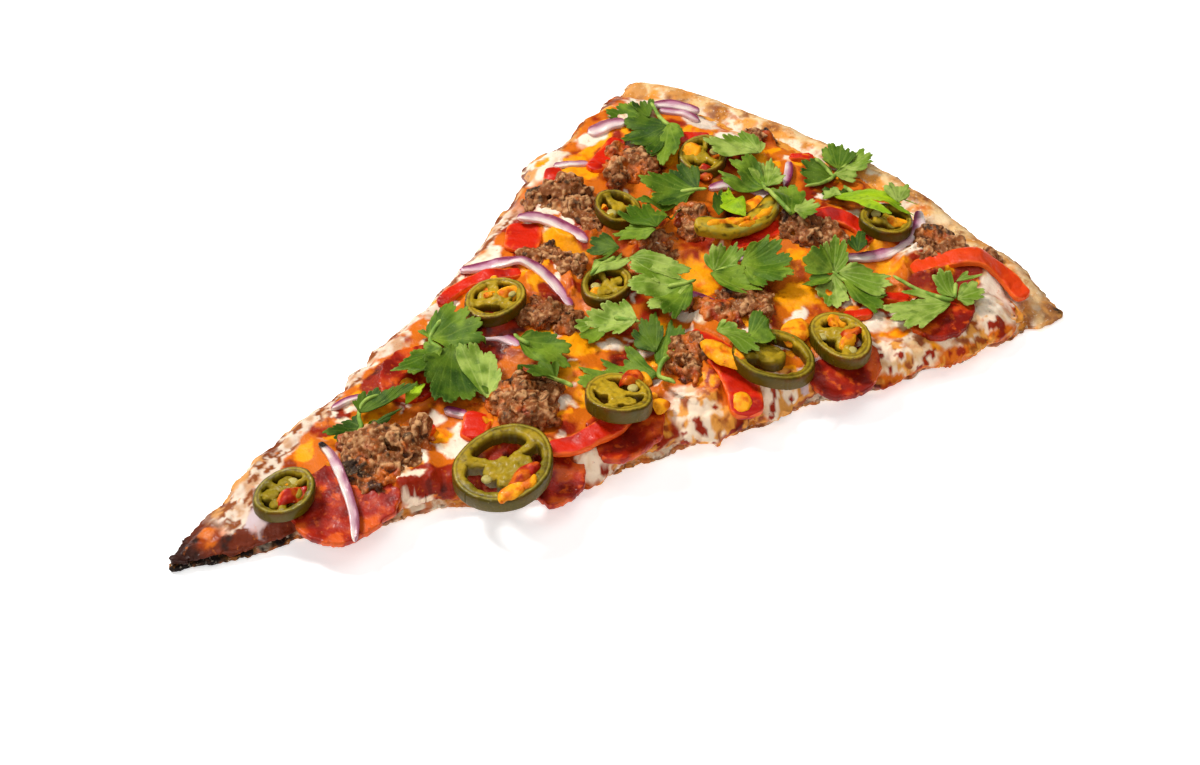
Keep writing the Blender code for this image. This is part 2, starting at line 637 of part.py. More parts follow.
def stack_rings(rings, cap_top, cap_bottom):
    """One closed mesh from loops of equal length, each (points, heights), and a plan for each cap."""
    vertices = [np.column_stack([loop, np.broadcast_to(z, len(loop))]) for loop, z in rings]
    count = len(rings[0][0])
    a = np.arange(count)
    b = np.roll(a, -1)
    faces = []
    for level in range(len(rings) - 1):
        low, high = level * count, (level + 1) * count
        faces += band(a + low, b + low, a + high, b + high)
    faces.append(cap_bottom[1][:, ::-1])
    base = len(rings) * count
    top_plan, top_height = cap_top
    extra = top_plan.points[count:]
    vertices.append(np.column_stack([extra, top_height(*extra.T)]))
    to_ring, to_extra = (len(rings) - 1) * count, base - count
    faces.append(top_plan.triangles + np.where(top_plan.triangles < count, to_ring, to_extra))
    return np.vstack(vertices), np.vstack(faces)


def build_crust():
    """The bread: a flat underside, a rounded ragged edge, a flat bed and a low blistered rim."""
    outline = Outline().loop
    top = inward_offset(outline, 0.7)
    foot = inward_offset(outline, 0.9)
    edge = crust_height(*top.T)
    low, high = (math.atan2(y, x) for x, y in (RIGHT_CORNER, LEFT_CORNER))
    angle = np.arange(low, high, math.radians(RIM_ROW_STEP))
    rows = []
    for reach in RIM_ROWS:
        radius = rim_radius(np.cos(angle), np.sin(angle)) - reach
        rows.append(np.stack([np.cos(angle) * radius, np.sin(angle) * radius], axis=1))
    rows = np.vstack(rows)
    rows = rows[inside(rows, inward_offset(outline, 2.4))]
    bed = spread_points(outline, BED_PITCH, 6.0, SEED)
    bed = bed[rim_distance(*bed.T) > BED_TO_RIM]
    cap = Plan([top], np.vstack([rows, bed]))
    foot_cap = Plan([foot])
    rings = [(foot, 0.0), (outline, 0.45 * edge), (top, edge)]
    return stack_rings(rings, (cap, crust_height), (foot_cap, foot_cap.triangles))


def build_sauce():
    """The thin tomato layer between the bread and the cheese, flush with the cuts."""
    outline = inward_offset(Outline(SAUCE_TO_RIM).loop, 0.75)
    plan = Plan([outline], spread_points(outline, SAUCE_PITCH, 6.0, SEED + 2))
    bottom = crust_height(*plan.points.T) + GAP
    return slab(plan, bottom, bottom + SAUCE_THICK)


def cheese_height(x, y):
    """Top of the cheese: an uneven sheet with mounds, thin at its border with the rim."""
    thick = CHEESE_THICK + CHEESE_RELIEF * waves(x, y, 19.0, 3) + 0.35 * waves(x, y, 8.0, 4)
    for mound_x, mound_y, radius, extra in CHEESE_MOUNDS:
        apart = np.hypot(x - mound_x, y - mound_y) / radius
        thick = thick + extra * np.exp(-1.4 * apart**2)
    thick = np.maximum(thick, 0.8)
    spread = ramp(rim_distance(x, y), CHEESE_TO_RIM, CHEESE_TO_RIM + 5) * ramp(x, *CHEESE_TIP)
    thick = CHEESE_THIN + (thick - CHEESE_THIN) * spread
    return base_height(x, y) + 2 * GAP + SAUCE_THICK + thick


def lap_profile(along, laps):
    """How far cheese reaches past a cut and how far it hangs, at places along the cut."""
    reach, hang = np.zeros(len(along)), np.zeros(len(along))
    for middle, half, out, down in laps:
        bell = np.clip(1 - ((along - middle) / half) ** 2, 0, 1)
        reach, hang = np.maximum(reach, out * np.sqrt(bell)), np.maximum(hang, down * bell)
    return reach, hang


def build_cheese():
    """The cheese sheet over the sauce, running over the cuts in rounded laps."""
    edge = Outline(CHEESE_TO_RIM)
    loop = edge.loop
    reach, hang = np.zeros(len(loop)), np.zeros(len(loop))
    right, left = len(edge.right), len(edge.left) - 1
    reach[:right], hang[:right] = lap_profile(edge.right_along, RIGHT_LAPS)
    reach[-left:], hang[-left:] = (side[:0:-1] for side in lap_profile(edge.left_along, LEFT_LAPS))
    inner = inward_offset(loop, 0.8)
    under = base_height(*loop.T) + 2 * GAP + SAUCE_THICK
    clear = np.where(reach > 0, -DRIP_CLEAR, 0.15)
    mid = inward_offset(loop, clear)
    outer = inward_offset(loop, np.where(reach > 0, -DRIP_CLEAR - reach, -0.2))
    crest = inward_offset(loop, np.where(reach > 0, -0.2 * reach, 0.8))
    brow = cheese_height(*loop.T) - 0.25
    low = np.maximum(under - hang, 0.8)
    rings = [
        (inner, under),
        (mid, under),
        (outer, np.where(reach > 0, low, under + 0.4)),
        (crest, brow),
    ]
    cap = Plan([crest], spread_points(crest, CHEESE_PITCH, 3.2, SEED + 4))
    foot = Plan([inner])
    return stack_rings(rings, (cap, cheese_height), (foot, foot.triangles))


def blob_outline(count, length, width, turn, rough, seed):
    """A rough closed oval about the origin."""
    rng = np.random.default_rng(seed)
    angle = np.arange(count) * 2 * math.pi / count
    radius = 1 + rng.uniform(-rough, rough, count)
    local = np.column_stack([np.cos(angle) * radius * length / 2, np.sin(angle) * radius * width / 2])
    return local @ turned(turn)


def turned(degrees):
    """The matrix that turns rows of points anticlockwise."""
    c, s = math.cos(math.radians(degrees)), math.sin(math.radians(degrees))
    return np.array([[c, s], [-s, c]])


def baked_bit(x, y, length, width, height, turn, seed):
    """A small rounded lump sunk into the cheese: a wide ring, a narrower upper ring and a top."""
    ring = blob_outline(7, length, width, turn, 0.14, seed)
    place = np.array([x, y])
    surface = float(cheese_height(np.array([x]), np.array([y]))[0])
    rings = [
        (ring * 0.85 + place, surface - 0.9),
        (ring + place, surface + 0.15 * height),
        (ring * 0.62 + place, surface + 0.85 * height),
    ]
    cap = Plan([rings[2][0]])
    foot = Plan([rings[0][0]])
    return stack_rings(rings, (cap, cheese_height), (foot, foot.triangles))


def join_bits(piece):
    """One Boolean union of the cheese and its baked bits, applied, with the bits then removed."""
    bits = bpy.data.collections.new("baked_bits")
    bpy.context.scene.collection.children.link(bits)
    for number, bit in enumerate(BAKED_BITS):
        vertices, faces = baked_bit(*bit, SEED + 50 + number)
        lump = place_object(f"baked_bit_{number}", vertices, faces, piece.data.materials[0], piece.parent)
        bpy.context.scene.collection.objects.unlink(lump)
        bits.objects.link(lump)
    union = piece.modifiers.new("bits", "BOOLEAN")
    union.operation, union.operand_type, union.solver = "UNION", "COLLECTION", "MANIFOLD"
    union.collection = bits
    bpy.context.view_layer.update()
    evaluated = piece.evaluated_get(bpy.context.evaluated_depsgraph_get())
    joined = bpy.data.meshes.new_from_object(evaluated)
    piece.modifiers.clear()
    piece.data = joined
    for lump in list(bits.objects):
        bpy.data.objects.remove(lump, do_unlink=True)
    bpy.data.collections.remove(bits)


def mesh_arrays(piece):
    """An object's vertices, in millimetres from the tip, and its triangles."""
    work = bmesh.new()
    work.from_mesh(piece.data)
    bmesh.ops.triangulate(work, faces=work.faces)
    work.verts.index_update()
    bpy.context.view_layer.update()
    vertices = np.array([tuple(piece.matrix_world @ v.co) for v in work.verts]) / MM
    faces = np.array([[v.index for v in face.verts] for face in work.faces])
    work.free()
    return vertices + np.array([BALANCE_X, 0, 0]), faces


def strip_plan(line, width, columns, taper=0.75):
    """A ribbon along a line, narrower at its ends."""
    line = smooth_line(line, 3.3)
    tangent = unit(np.gradient(line, axis=0))
    across = np.column_stack([-tangent[:, 1], tangent[:, 0]])
    along = np.linspace(-1, 1, len(line))
    half = 0.5 * width * (1 - (1 - taper) * along**4)
    edges = [line + across * (half * side)[:, None] for side in np.linspace(-1, 1, columns)]
    outline = np.vstack([edges[0], edges[-1][::-1]])
    inner = [edge[1:-1] for edge in edges[1:-1]]
    return Plan([outline], np.vstack(inner) if inner else ())


def cured_slice(length, width, turn, x, y, seed):
    outline = blob_outline(15, length, width, turn, 0.07, seed)
    plan = Plan([outline + (x, y)], np.vstack([outline[::2] * 0.5, [[0, 0]]]) + (x, y))
    return Topping(plan, 1.2, smooth=6, hang=1.6)


def beef_piece(x, y, length, width, height, turn, seed):
    """A crumbly lump: a rough outline, two rings of bumps inside it and a rounded side."""
    count = 15 if length > 14 else 12
    outline = blob_outline(count, length, width, turn, 0.13, seed)
    middle = blob_outline(count - 4, length * 0.62, width * 0.62, turn + 13, 0.12, seed + 1)
    heart = blob_outline(5, length * 0.26, width * 0.26, turn, 0.1, seed + 2)
    plan = Plan([outline + (x, y)], np.vstack([middle, heart]) + (x, y))
    local = (plan.points - (x, y)) @ turned(-turn) / (length / 2, width / 2)
    radius = np.clip(np.hypot(*local.T), 0, 1)
    rng = np.random.default_rng(seed + 3)
    bumps = rng.uniform(-0.16, 0.16, len(radius))
    crown = height * (0.72 * np.sqrt(np.clip(1 - radius**2, 0, 1)) + bumps * (radius < 0.85))
    return Topping(plan, 0.28 * height, smooth=3, belly=0.9, crown=crown, hang=1.2)


def jalapeno_slice(x, y, length, width, thickness, turn, core, seed):
    """A cross cut of the pod: skin and flesh ring, seed core, ribs between them and open cells."""
    angle = np.arange(JALAPENO_SIDES) * 2 * math.pi / JALAPENO_SIDES
    wobble = 1 + 0.03 * np.sin(3 * angle + seed)
    shapes = [np.column_stack([np.cos(angle), np.sin(angle)]) * wobble[:, None]]
    third = 2 * math.pi / JALAPENO_CELLS
    for cell in range(JALAPENO_CELLS):
        low, high = ((cell + share) * third for share in JALAPENO_CELL_SPAN)
        sweep = np.linspace(low, high, 4) + 0.7 * seed
        arc = np.column_stack([np.cos(sweep), np.sin(sweep)])
        shapes.append(np.vstack([JALAPENO_WALL * arc, core * arc[2:0:-1]]))
    ring, *holes = [(shape * (length / 2, width / 2)) @ turned(turn) + (x, y) for shape in shapes]
    return Topping(Plan([ring], (), holes), thickness, smooth=0, stiff=True)


def leaflet_outline(x, y, length, width, heading):
    """A fan-shaped leaflet about its middle: a narrow foot and three lobes with shallow teeth."""
    reach = (0.80, 1.04, 0.90, 1.04, 0.80, 1.04, 0.93, 1.06, 0.93, 1.04, 0.80, 1.04, 0.90, 1.04, 0.80)
    angle = np.radians(np.linspace(-148, 148, len(reach)))
    blade = np.column_stack([
        0.12 * length + np.cos(angle) * 0.38 * length * np.array(reach),
        np.sin(angle) * 0.5 * width * np.array(reach),
    ])
    foot = np.array([[-0.5 * length, 0.0]])
    return np.vstack([foot, blade]) @ turned(heading) + (x, y)


def leaflet_veins(x, y, length, width, heading):
    """Inner points along the leaflet's middle vein and its two side veins, with their lift."""
    local = np.array([[-0.22, 0.0], [0.08, 0.0], [0.34, 0.0], [0.12, 0.27], [0.12, -0.27]])
    return (local * (length, width)) @ turned(heading) + (x, y)


def cilantro_sprig(curl, leaflets, stems):
    """Leaflets and thin stems joined into one wavy sheet whose edges curl up."""
    outlines = [leaflet_outline(*leaflet) for leaflet in leaflets]
    inner = np.vstack([leaflet_veins(*leaflet) for leaflet in leaflets])
    for line in stems:
        line = smooth_line(line, STEM_GRID)
        tangent = unit(np.gradient(line, axis=0))
        across = np.column_stack([-tangent[:, 1], tangent[:, 0]]) * STEM_WIDTH / 2
        outlines.append(np.vstack([line - across, (line + across)[::-1]]))
    plan = Plan(outlines, inner)
    return Leaf(plan, LEAF_THICK, smooth=14, hang=0.8, crown=leaf_curl(plan.points, curl, leaflets))


def leaf_curl(points, curl, leaflets):
    """How far each point lifts: the edges of a leaflet rise from its veins."""
    lift = np.zeros(len(points))
    for x, y, length, width, heading in leaflets:
        local = (points - (x, y)) @ turned(-heading) / (length / 2, width / 2)
        near = np.hypot(*local.T) < 1.25
        rise = curl * np.clip(0.55 * local[:, 1] ** 2 + 0.35 * np.clip(local[:, 0], 0, 1) ** 2, 0, 1)
        lift = np.where(near, np.maximum(lift, rise), lift)
    return lift


def all_toppings():
    """Every loose topping as (name, colour, piece), lowest in the pile first."""
    for number, (name, *sizes) in enumerate(CURED_SLICES):
        x, y, length, width, turn = sizes
        yield name, "cured", cured_slice(length, width, turn, x, y, SEED + number)
    for name, width, line in PEPPER_STRIPS:
        yield name, "pepper", Topping(strip_plan(line, width, 3), PEPPER_THICK, smooth=4, hang=1.6)
    for name, width, line in ONION_STRIPS:
        yield name, "onion", Topping(strip_plan(line, width, 2, 0.55), ONION_THICK, smooth=3, hang=1.2)
    for number, (name, *sizes) in enumerate(BEEF_PIECES):
        yield name, "beef", beef_piece(*sizes, SEED + 100 + 7 * number)
    name, width, line = JALAPENO_EDGE
    yield name, "jalapeno", Topping(strip_plan(line, width, 3, 0.6), JALAPENO_EDGE_THICK, smooth=6)
    for number, (name, *sizes) in enumerate(JALAPENO_SLICES):
        yield name, "jalapeno", jalapeno_slice(*sizes, number)
    for name, *parts in CILANTRO_SPRIGS:
        yield name, "cilantro", cilantro_sprig(*parts)


def main():
    for thing in list(bpy.data.objects):
        bpy.data.objects.remove(thing, do_unlink=True)
    materials = {name: make_material(name) for name in COLOURS}
    whole = bpy.data.objects.new("pizza_slice", None)
    bpy.context.scene.collection.objects.link(whole)

    pile = Pile()
    for name, colour, build in (
        ("crust", "crust", build_crust),
        ("tomato_sauce", "sauce", build_sauce),
        ("melted_cheese", "cheese", build_cheese),
    ):
        vertices, faces = build()
        piece = place_object(name, vertices, faces, materials[colour], whole)
        if name == "melted_cheese":
            join_bits(piece)
            vertices, faces = mesh_arrays(piece)
        pile.add(vertices, faces)

    for name, colour, topping in all_toppings():
        vertices, faces = topping.lay(pile)
        pile.add(vertices, faces)
        place_object(name, vertices, faces, materials[colour], whole)


main()
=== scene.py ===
"""Looks of one slice of thin Mexican pizza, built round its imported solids.

Plans and heights are millimetres in the slice's own frame: the tip at the origin, the rim towards
+X, and the underside at height 0. Form.place turns them into metres about the model's origin.
"""

from __future__ import annotations

import logging
import math
from collections.abc import Callable, Iterable
from dataclasses import dataclass
from enum import Enum

import bmesh
import bpy
import numpy as np
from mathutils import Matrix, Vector


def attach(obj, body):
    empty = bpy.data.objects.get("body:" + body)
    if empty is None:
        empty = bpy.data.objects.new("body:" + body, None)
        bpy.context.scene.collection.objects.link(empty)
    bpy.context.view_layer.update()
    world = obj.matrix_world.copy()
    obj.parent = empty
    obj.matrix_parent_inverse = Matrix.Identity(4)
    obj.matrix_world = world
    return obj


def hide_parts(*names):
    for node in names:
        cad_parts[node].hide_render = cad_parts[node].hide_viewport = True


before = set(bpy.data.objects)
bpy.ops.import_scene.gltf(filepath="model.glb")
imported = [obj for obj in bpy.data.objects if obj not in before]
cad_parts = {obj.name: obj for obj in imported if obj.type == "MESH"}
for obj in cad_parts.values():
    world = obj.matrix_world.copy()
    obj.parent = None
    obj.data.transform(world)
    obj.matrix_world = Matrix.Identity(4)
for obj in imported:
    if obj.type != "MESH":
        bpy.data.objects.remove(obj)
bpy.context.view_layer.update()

Array = np.ndarray
Place = Array | tuple[float, ...]
Points = Iterable[Place]
log = logging.getLogger("pizza_slice")

MM = 0.001
BALANCE_X = 120.0

# The slice's plan: its tip and corners, and the rim's radius from the tip by angle.
TIP, LEFT_CORNER, RIGHT_CORNER = (-0.4, -1.8), (171.0, 56.0), (191.5, -66.5)
RIM_RADIUS = ((-19, 202), (-15, 201.8), (-11, 198.2), (-3, 195.6), (3, 191.2), (9, 187.4), (14, 185), (19, 180))
# Opposite corners of the plan that holds the bread and the sauce.
PLAN_LOW, PLAN_HIGH = (-4.0, -74.0), (200.0, 62.0)
# The notch in the far cut and the lobe of cheese beside it: x, y, radius.
NOTCH, LOBE = (123.6, 44.7, 4.6), (133.6, 43.0, 5.5)


def tone(red: float, green: float, blue: float) -> Array:
    """A colour as it shows on a screen, 0 to 255, made linear light."""
    shown = np.array([red, green, blue], float) / 255.0
    return np.where(shown < 0.04045, shown / 12.92, ((shown + 0.055) / 1.055) ** 2.4)


def ease(value: Array, low: float, high: float) -> Array:
    """0 at low, 1 at high and smooth between them: 3t^2 - 2t^3 of the clipped share t."""
    share = np.clip((value - low) / (high - low), 0.0, 1.0)
    return share * share * (3 - 2 * share)


def unit(vectors: Array) -> Array:
    """Vectors divided by their own lengths."""
    return vectors / np.maximum(np.linalg.norm(vectors, axis=-1, keepdims=True), 1e-9)


def mix(first: Array, second: Array, share: Array) -> Array:
    """Rows that go from the first to the second colour by a share for each row."""
    return first + (second - first) * np.asarray(share)[..., None]


def turn(points: Array, degrees: float) -> Array:
    """Plan points turned anticlockwise about the origin."""
    c, s = math.cos(math.radians(degrees)), math.sin(math.radians(degrees))
    return points @ np.array([[c, s], [-s, c]])


def trace(*tenths: int) -> Array:
    """Plan points from the first one's x and y and then the steps from each to the next, in tenths of a mm."""
    return np.cumsum(np.reshape(tenths, (-1, 2)), axis=0) / 10


def spots(points: Array, places: Points) -> Iterable[Array]:
    """For each place (x, y, radius), how far points lie from it as a share of its radius."""
    return (np.hypot(points[:, 0] - x, points[:, 1] - y) / radius for x, y, radius in places)


def corner_values(cells: Array, seed: int) -> Array:
    """Seeded values from -1 to 1 at whole-number places: odd multiples joined and mixed by shifts.

    Args:
        cells: Whole-number places, one row each.
        seed: Which set of values.

    Returns:
        One value for each row.
    """
    key = np.full(len(cells), (seed * 0x9E3779B1 + 0x1234567) & 0xFFFFFFFF, np.uint32)
    for axis, odd in zip(range(cells.shape[1]), (0x8DA6B343, 0xD8163841, 0xCB1AB31F)):
        key ^= cells[:, axis].astype(np.int32).view(np.uint32) * np.uint32(odd)
        key = (key ^ (key >> np.uint32(15))) * np.uint32(0x2C1B3C6D)
    key = (key ^ (key >> np.uint32(12))) * np.uint32(0x297A2D39)
    return (key ^ (key >> np.uint32(15))) / 2147483647.5 - 1.0


def noise(points: Array, size: float, layers: int = 1, seed: int = 0) -> Array:
    """Smooth seeded noise, about -1 to 1: corner values of a grid blended by 6t^5 - 15t^4 + 10t^3.

    Args:
        points: Rows of two or three coordinates.
        size: Width of the largest patches.
        layers: How many times it is added at half the size and half the strength, each layer turned.
        seed: Which noise.

    Returns:
        One value for each row.
    """
    total, weight, whole = np.zeros(len(points)), 1.0, 0.0
    for layer in range(layers):
        at = points * (2.0**layer / size)
        at = np.column_stack([turn(at[:, :2], 37.0 + 61.0 * layer), at[:, 2:]]) + 11.7 * (layer + 1)
        if at.shape[1] == 3:
            at[:, 1:] = turn(at[:, 1:], 29.0 + 47.0 * layer)
        cell = np.floor(at)
        t = at - cell
        t = t * t * t * (t * (t * 6 - 15) + 10)
        value = np.zeros(len(at))
        for corner in np.ndindex(*(2,) * at.shape[1]):
            share = np.prod(np.where(corner, t, 1 - t), axis=1)
            value += share * corner_values(cell + corner, seed * 31 + layer)
        total += 1.35 * weight * value
        whole += weight
        weight *= 0.5
    return total / whole**0.75


def rim_reach(points: Array) -> Array:
    """How far plan points lie in from the rim's edge."""
    angles, radii = np.array(RIM_RADIUS).T
    return np.interp(np.degrees(np.arctan2(points[:, 1], points[:, 0])), angles, radii) - np.hypot(*points[:, :2].T)


def square_to(corner: tuple[float, float]) -> Array:
    """The plan direction to the left of the cut from the tip to a corner."""
    along = unit(np.subtract(corner, TIP))
    return np.array([-along[1], along[0]])


def cut_reach(points: Array, corner: tuple[float, float]) -> Array:
    """How far plan points lie in from the straight line of the cut between the tip and a corner."""
    away = (points[:, :2] - TIP) @ square_to(corner)
    return away if corner[1] < 0 else -away


def bitten(inside: Array, plan: Array) -> Array:
    """An outline's distance in, less the notch: the lesser of it and the way out of the notch's disc."""
    return np.minimum(inside, np.hypot(*(plan - NOTCH[:2]).T) - NOTCH[2])


# ---------------------------------------------------------------- surfaces


def grid_faces(rows: int, columns: int, wrap: bool = False) -> Array:
    """Two triangles for each cell of a grid of points.

    Args:
        rows: Points along the first direction.
        columns: Points along the second direction.
        wrap: Joins the last column to the first.

    Returns:
        Triangles as rows of three point numbers.
    """
    index = np.arange(rows * columns).reshape(rows, columns)
    right = np.roll(index, -1, axis=1)
    if not wrap:
        index, right = index[:, :-1], right[:, :-1]
    a, b, c, d = index[:-1], right[:-1], right[1:], index[1:]
    return np.concatenate([np.stack([a, b, c], -1).reshape(-1, 3), np.stack([a, c, d], -1).reshape(-1, 3)])


@dataclass
class Form:
    """A closed surface with its colour and polish at each point.

    Attributes:
        points: Places in slice millimetres.
        faces: Triangles, as point numbers.
        tint: Linear colour for each point.
        gloss: 0 for the finish's roughest look, 1 for its glossiest.
        lie: Pattern coordinates in millimetres that follow the piece, such as along and across it.
    """

    points: Array
    faces: Array
    tint: Array | None = None
    gloss: Array | None = None
    lie: Array | None = None

    def outward(self) -> "Form":
        """Turns the faces over if the volume that they close comes out negative.

        Returns:
            The form itself.
        """
        a, b, c = (self.points[self.faces[:, k]] - self.points[0] for k in range(3))
        if np.einsum("ij,ij->", a, np.cross(b, c)) < 0:
            self.faces = self.faces[:, ::-1]
        return self

    def normals(self) -> Array:
        """Outward directions at the points: the sum of the crossed edges of each point's triangles.

        Returns:
            One unit vector for each point.
        """
        a, b, c = (self.points[self.faces[:, k]] for k in range(3))
        across, corner, count = np.cross(b - a, c - a), self.faces.ravel(), len(self.points)
        return unit(np.stack([np.bincount(corner, np.repeat(across[:, k], 3), count) for k in range(3)], axis=1))

    def spread(self, values: Array, passes: int = 1) -> Array:
        """Values at the points blended with their neighbours' mean.

        Args:
            values: One number, or one row of numbers, for each point.
            passes: How many times.

        Returns:
            The blended values.
        """
        start, end, count = self.faces.ravel(), np.roll(self.faces, -1, axis=1).ravel(), len(self.points)
        share = np.maximum(np.bincount(start, minlength=count), 1)
        columns = np.reshape(values, (count, -1)).astype(float)
        for _ in range(passes):
            near = [np.bincount(start, column[end], count) / share for column in columns.T]
            columns = 0.5 * columns + 0.5 * np.stack(near, axis=1)
        return columns.reshape(np.shape(values))

    def hollows(self, passes: int) -> Array:
        """How deep each point lies under its smoothed surroundings, in millimetres; bumps are negative."""
        return ((self.spread(self.points, passes) - self.points) * self.normals()).sum(axis=1)

    def push(self, distance: Array) -> "Form":
        """Moves each point outwards along its normal."""
        self.points = self.points + self.normals() * np.asarray(distance)[..., None]
        return self

    def paint(self, tint: Array, gloss: Array | float = 0.5) -> "Form":
        """Sets the colour and polish of every point.

        Args:
            tint: One linear colour, or a row for each point.
            gloss: One polish, or one for each point.

        Returns:
            The form itself.
        """
        self.tint = np.broadcast_to(tint, (len(self.points), 3)).astype(float)
        self.gloss = np.broadcast_to(gloss, len(self.points)).astype(float)
        return self

    @staticmethod
    def joined(forms: list["Form"]) -> "Form":
        """Several painted forms as one.

        Args:
            forms: The forms, each with tint and gloss.

        Returns:
            One form with all their points and faces.
        """
        starts = np.cumsum([0] + [len(form.points) for form in forms[:-1]])
        lies = [np.zeros_like(form.points) if form.lie is None else form.lie for form in forms]
        return Form(
            np.vstack([form.points for form in forms]),
            np.vstack([form.faces + start for form, start in zip(forms, starts)]),
            np.vstack([form.tint for form in forms]),
            np.concatenate([form.gloss for form in forms]),
            np.vstack(lies),
        )

    def place(self, name: str, finish: "Finish", slot: str, *nodes: str) -> bpy.types.Object:
        """Makes the form a piece of the slice.

        Args:
            name: The piece's name.
            finish: What it is made of.
            slot: Not used.
            nodes: The CAD nodes that it stands for.

        Returns:
            The new object, riding on the slice's body.
        """
        mesh = bpy.data.meshes.new(name)
        mesh.vertices.add(len(self.points))
        mesh.vertices.foreach_set("co", ((self.points - (BALANCE_X, 0, 0)) * MM).astype(np.float32).ravel())
        mesh.loops.add(self.faces.size)
        mesh.loops.foreach_set("vertex_index", self.faces.astype(np.int32).ravel())
        mesh.polygons.add(len(self.faces))
        mesh.polygons.foreach_set("loop_start", np.arange(0, self.faces.size, 3, dtype=np.int32))
        mesh.update(calc_edges=True)
        mesh.shade_smooth()
        for label, kind, part, values in (
            ("tint", "FLOAT_COLOR", "color", np.column_stack([self.tint, np.ones(len(self.tint))])),
            ("gloss", "FLOAT", "value", self.gloss),
            ("lie", "FLOAT_VECTOR", "vector", self.lie),
        ):
            if values is not None:
                layer = mesh.attributes.new(label, kind, "POINT")
                layer.data.foreach_set(part, values.astype(np.float32).ravel())
        mesh.materials.append(finish.material())
        piece = bpy.data.objects.new(name, mesh)
        bpy.context.scene.collection.objects.link(piece)
        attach(piece, "root")
        if nodes:
            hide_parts(*nodes)
        low, high = self.points[:, 2].min(), self.points[:, 2].max()
        log.info("%s: %d triangles, %s, %.2f to %.2f mm high", name, len(self.faces), finish.name, low, high)
        return piece


def capped(rings: Array) -> Form:
    """A stack of closed rings shut with a point in the middle of the first and of the last.

    Args:
        rings: Points by ring and by place round the ring.

    Returns:
        The closed form, rings first and the two poles last.
    """
    rows, columns = rings.shape[:2]
    ring = np.arange(columns)
    after, last = np.roll(ring, -1), (rows - 1) * columns
    caps = [
        np.column_stack([after, ring, np.full(columns, rows * columns)]),
        np.column_stack([ring + last, after + last, np.full(columns, rows * columns + 1)]),
    ]
    points = np.vstack([rings.reshape(-1, 3), rings[0].mean(axis=0), rings[-1].mean(axis=0)])
    return Form(points, np.vstack([grid_faces(rows, columns, wrap=True), *caps])).outward()


def two_sided(top: Array, bottom: Array) -> Form:
    """A thin sheet closed round its edge.

    Args:
        top: A grid of points.
        bottom: The same grid on the lower face.

    Returns:
        The closed form: the top's points, then the bottom's.
    """
    rows, columns = top.shape[:2]
    index = np.arange(rows * columns).reshape(rows, columns)
    loop = np.concatenate([index[0], index[1:, -1], index[-1, -2::-1], index[-2:0:-1, 0]])
    after, count = np.roll(loop, -1), rows * columns
    faces = grid_faces(rows, columns)
    side = [np.column_stack([after, loop, loop + count]), np.column_stack([after, loop + count, after + count])]
    points = np.vstack([top.reshape(-1, 3), bottom.reshape(-1, 3)])
    return Form(points, np.vstack([faces, faces[:, ::-1] + count, *side])).outward()


def tube(path: Array, radius: Array, sides: int = 10) -> Form:
    """A round closed stalk: circles square to a path, drawn in to a point at both ends.

    Args:
        path: Rows of three coordinates.
        radius: One for each row.
        sides: Points round each circle.

    Returns:
        The closed form.
    """
    along = unit(np.gradient(path, axis=0))
    across = unit(np.column_stack([-along[:, 1], along[:, 0], np.zeros(len(path))]))
    up = np.cross(along, across)
    angle = np.linspace(0, 2 * math.pi, sides, endpoint=False)
    share = np.linspace(-1, 1, len(path))
    size = np.asarray(radius) * np.sqrt(1 - 0.92 * share**12)
    circle = np.cos(angle)[None, :, None] * across[:, None] + np.sin(angle)[None, :, None] * up[:, None]
    return capped(path[:, None] + circle * np.reshape(size, (-1, 1, 1)))


def smooth_line(points: Points, pitch: float) -> Array:
    """A Catmull-Rom curve through points, with its own points about a pitch apart.

    Args:
        points: Rows of two or three coordinates.
        pitch: The distance between the new points.

    Returns:
        The new points, both ends kept.
    """
    p = np.asarray(list(points), float)
    p = np.vstack([2 * p[0] - p[1], p, 2 * p[-1] - p[-2]])
    t = np.linspace(0, 1, 17)[:-1][None, :, None]
    a, b, c, d = (p[k : len(p) - 3 + k, None] for k in range(4))
    curve = 0.5 * (2 * b + (c - a) * t + (2 * a - 5 * b + 4 * c - d) * t**2 + (3 * b - a - 3 * c + d) * t**3)
    curve = np.vstack([curve.reshape(-1, p.shape[1]), p[-2]])
    along = np.concatenate([[0], np.cumsum(np.linalg.norm(np.diff(curve, axis=0), axis=1))])
    at = np.linspace(0, along[-1], max(3, int(round(along[-1] / pitch)) + 1))
    return np.stack([np.interp(at, along, column) for column in curve.T], axis=1)


# ---------------------------------------------------------------- the solids as heights


class Side(Enum):
    """Which faces of a solid a height is read from."""

    TOP = 1
    BOTTOM = -1


def node_triangles(name: str) -> Array:
    """Triangles of a CAD node, in slice millimetres.

    Args:
        name: The node.

    Returns:
        Corners by triangle, corner and coordinate.
    """
    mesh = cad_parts[name].data
    place = np.empty(len(mesh.vertices) * 3, np.float32)
    mesh.vertices.foreach_get("co", place)
    corner = np.empty(len(mesh.loops), np.int32)
    mesh.loops.foreach_get("vertex_index", corner)
    return place.reshape(-1, 3)[corner].reshape(-1, 3, 3) / MM + (BALANCE_X, 0, 0)


def facing(triangles: Array, side: Side) -> Array:
    """Only the triangles that look up, or only those that look down."""
    up = np.cross(triangles[:, 1] - triangles[:, 0], triangles[:, 2] - triangles[:, 0])[:, 2]
    return triangles[up * side.value > 1e-4]


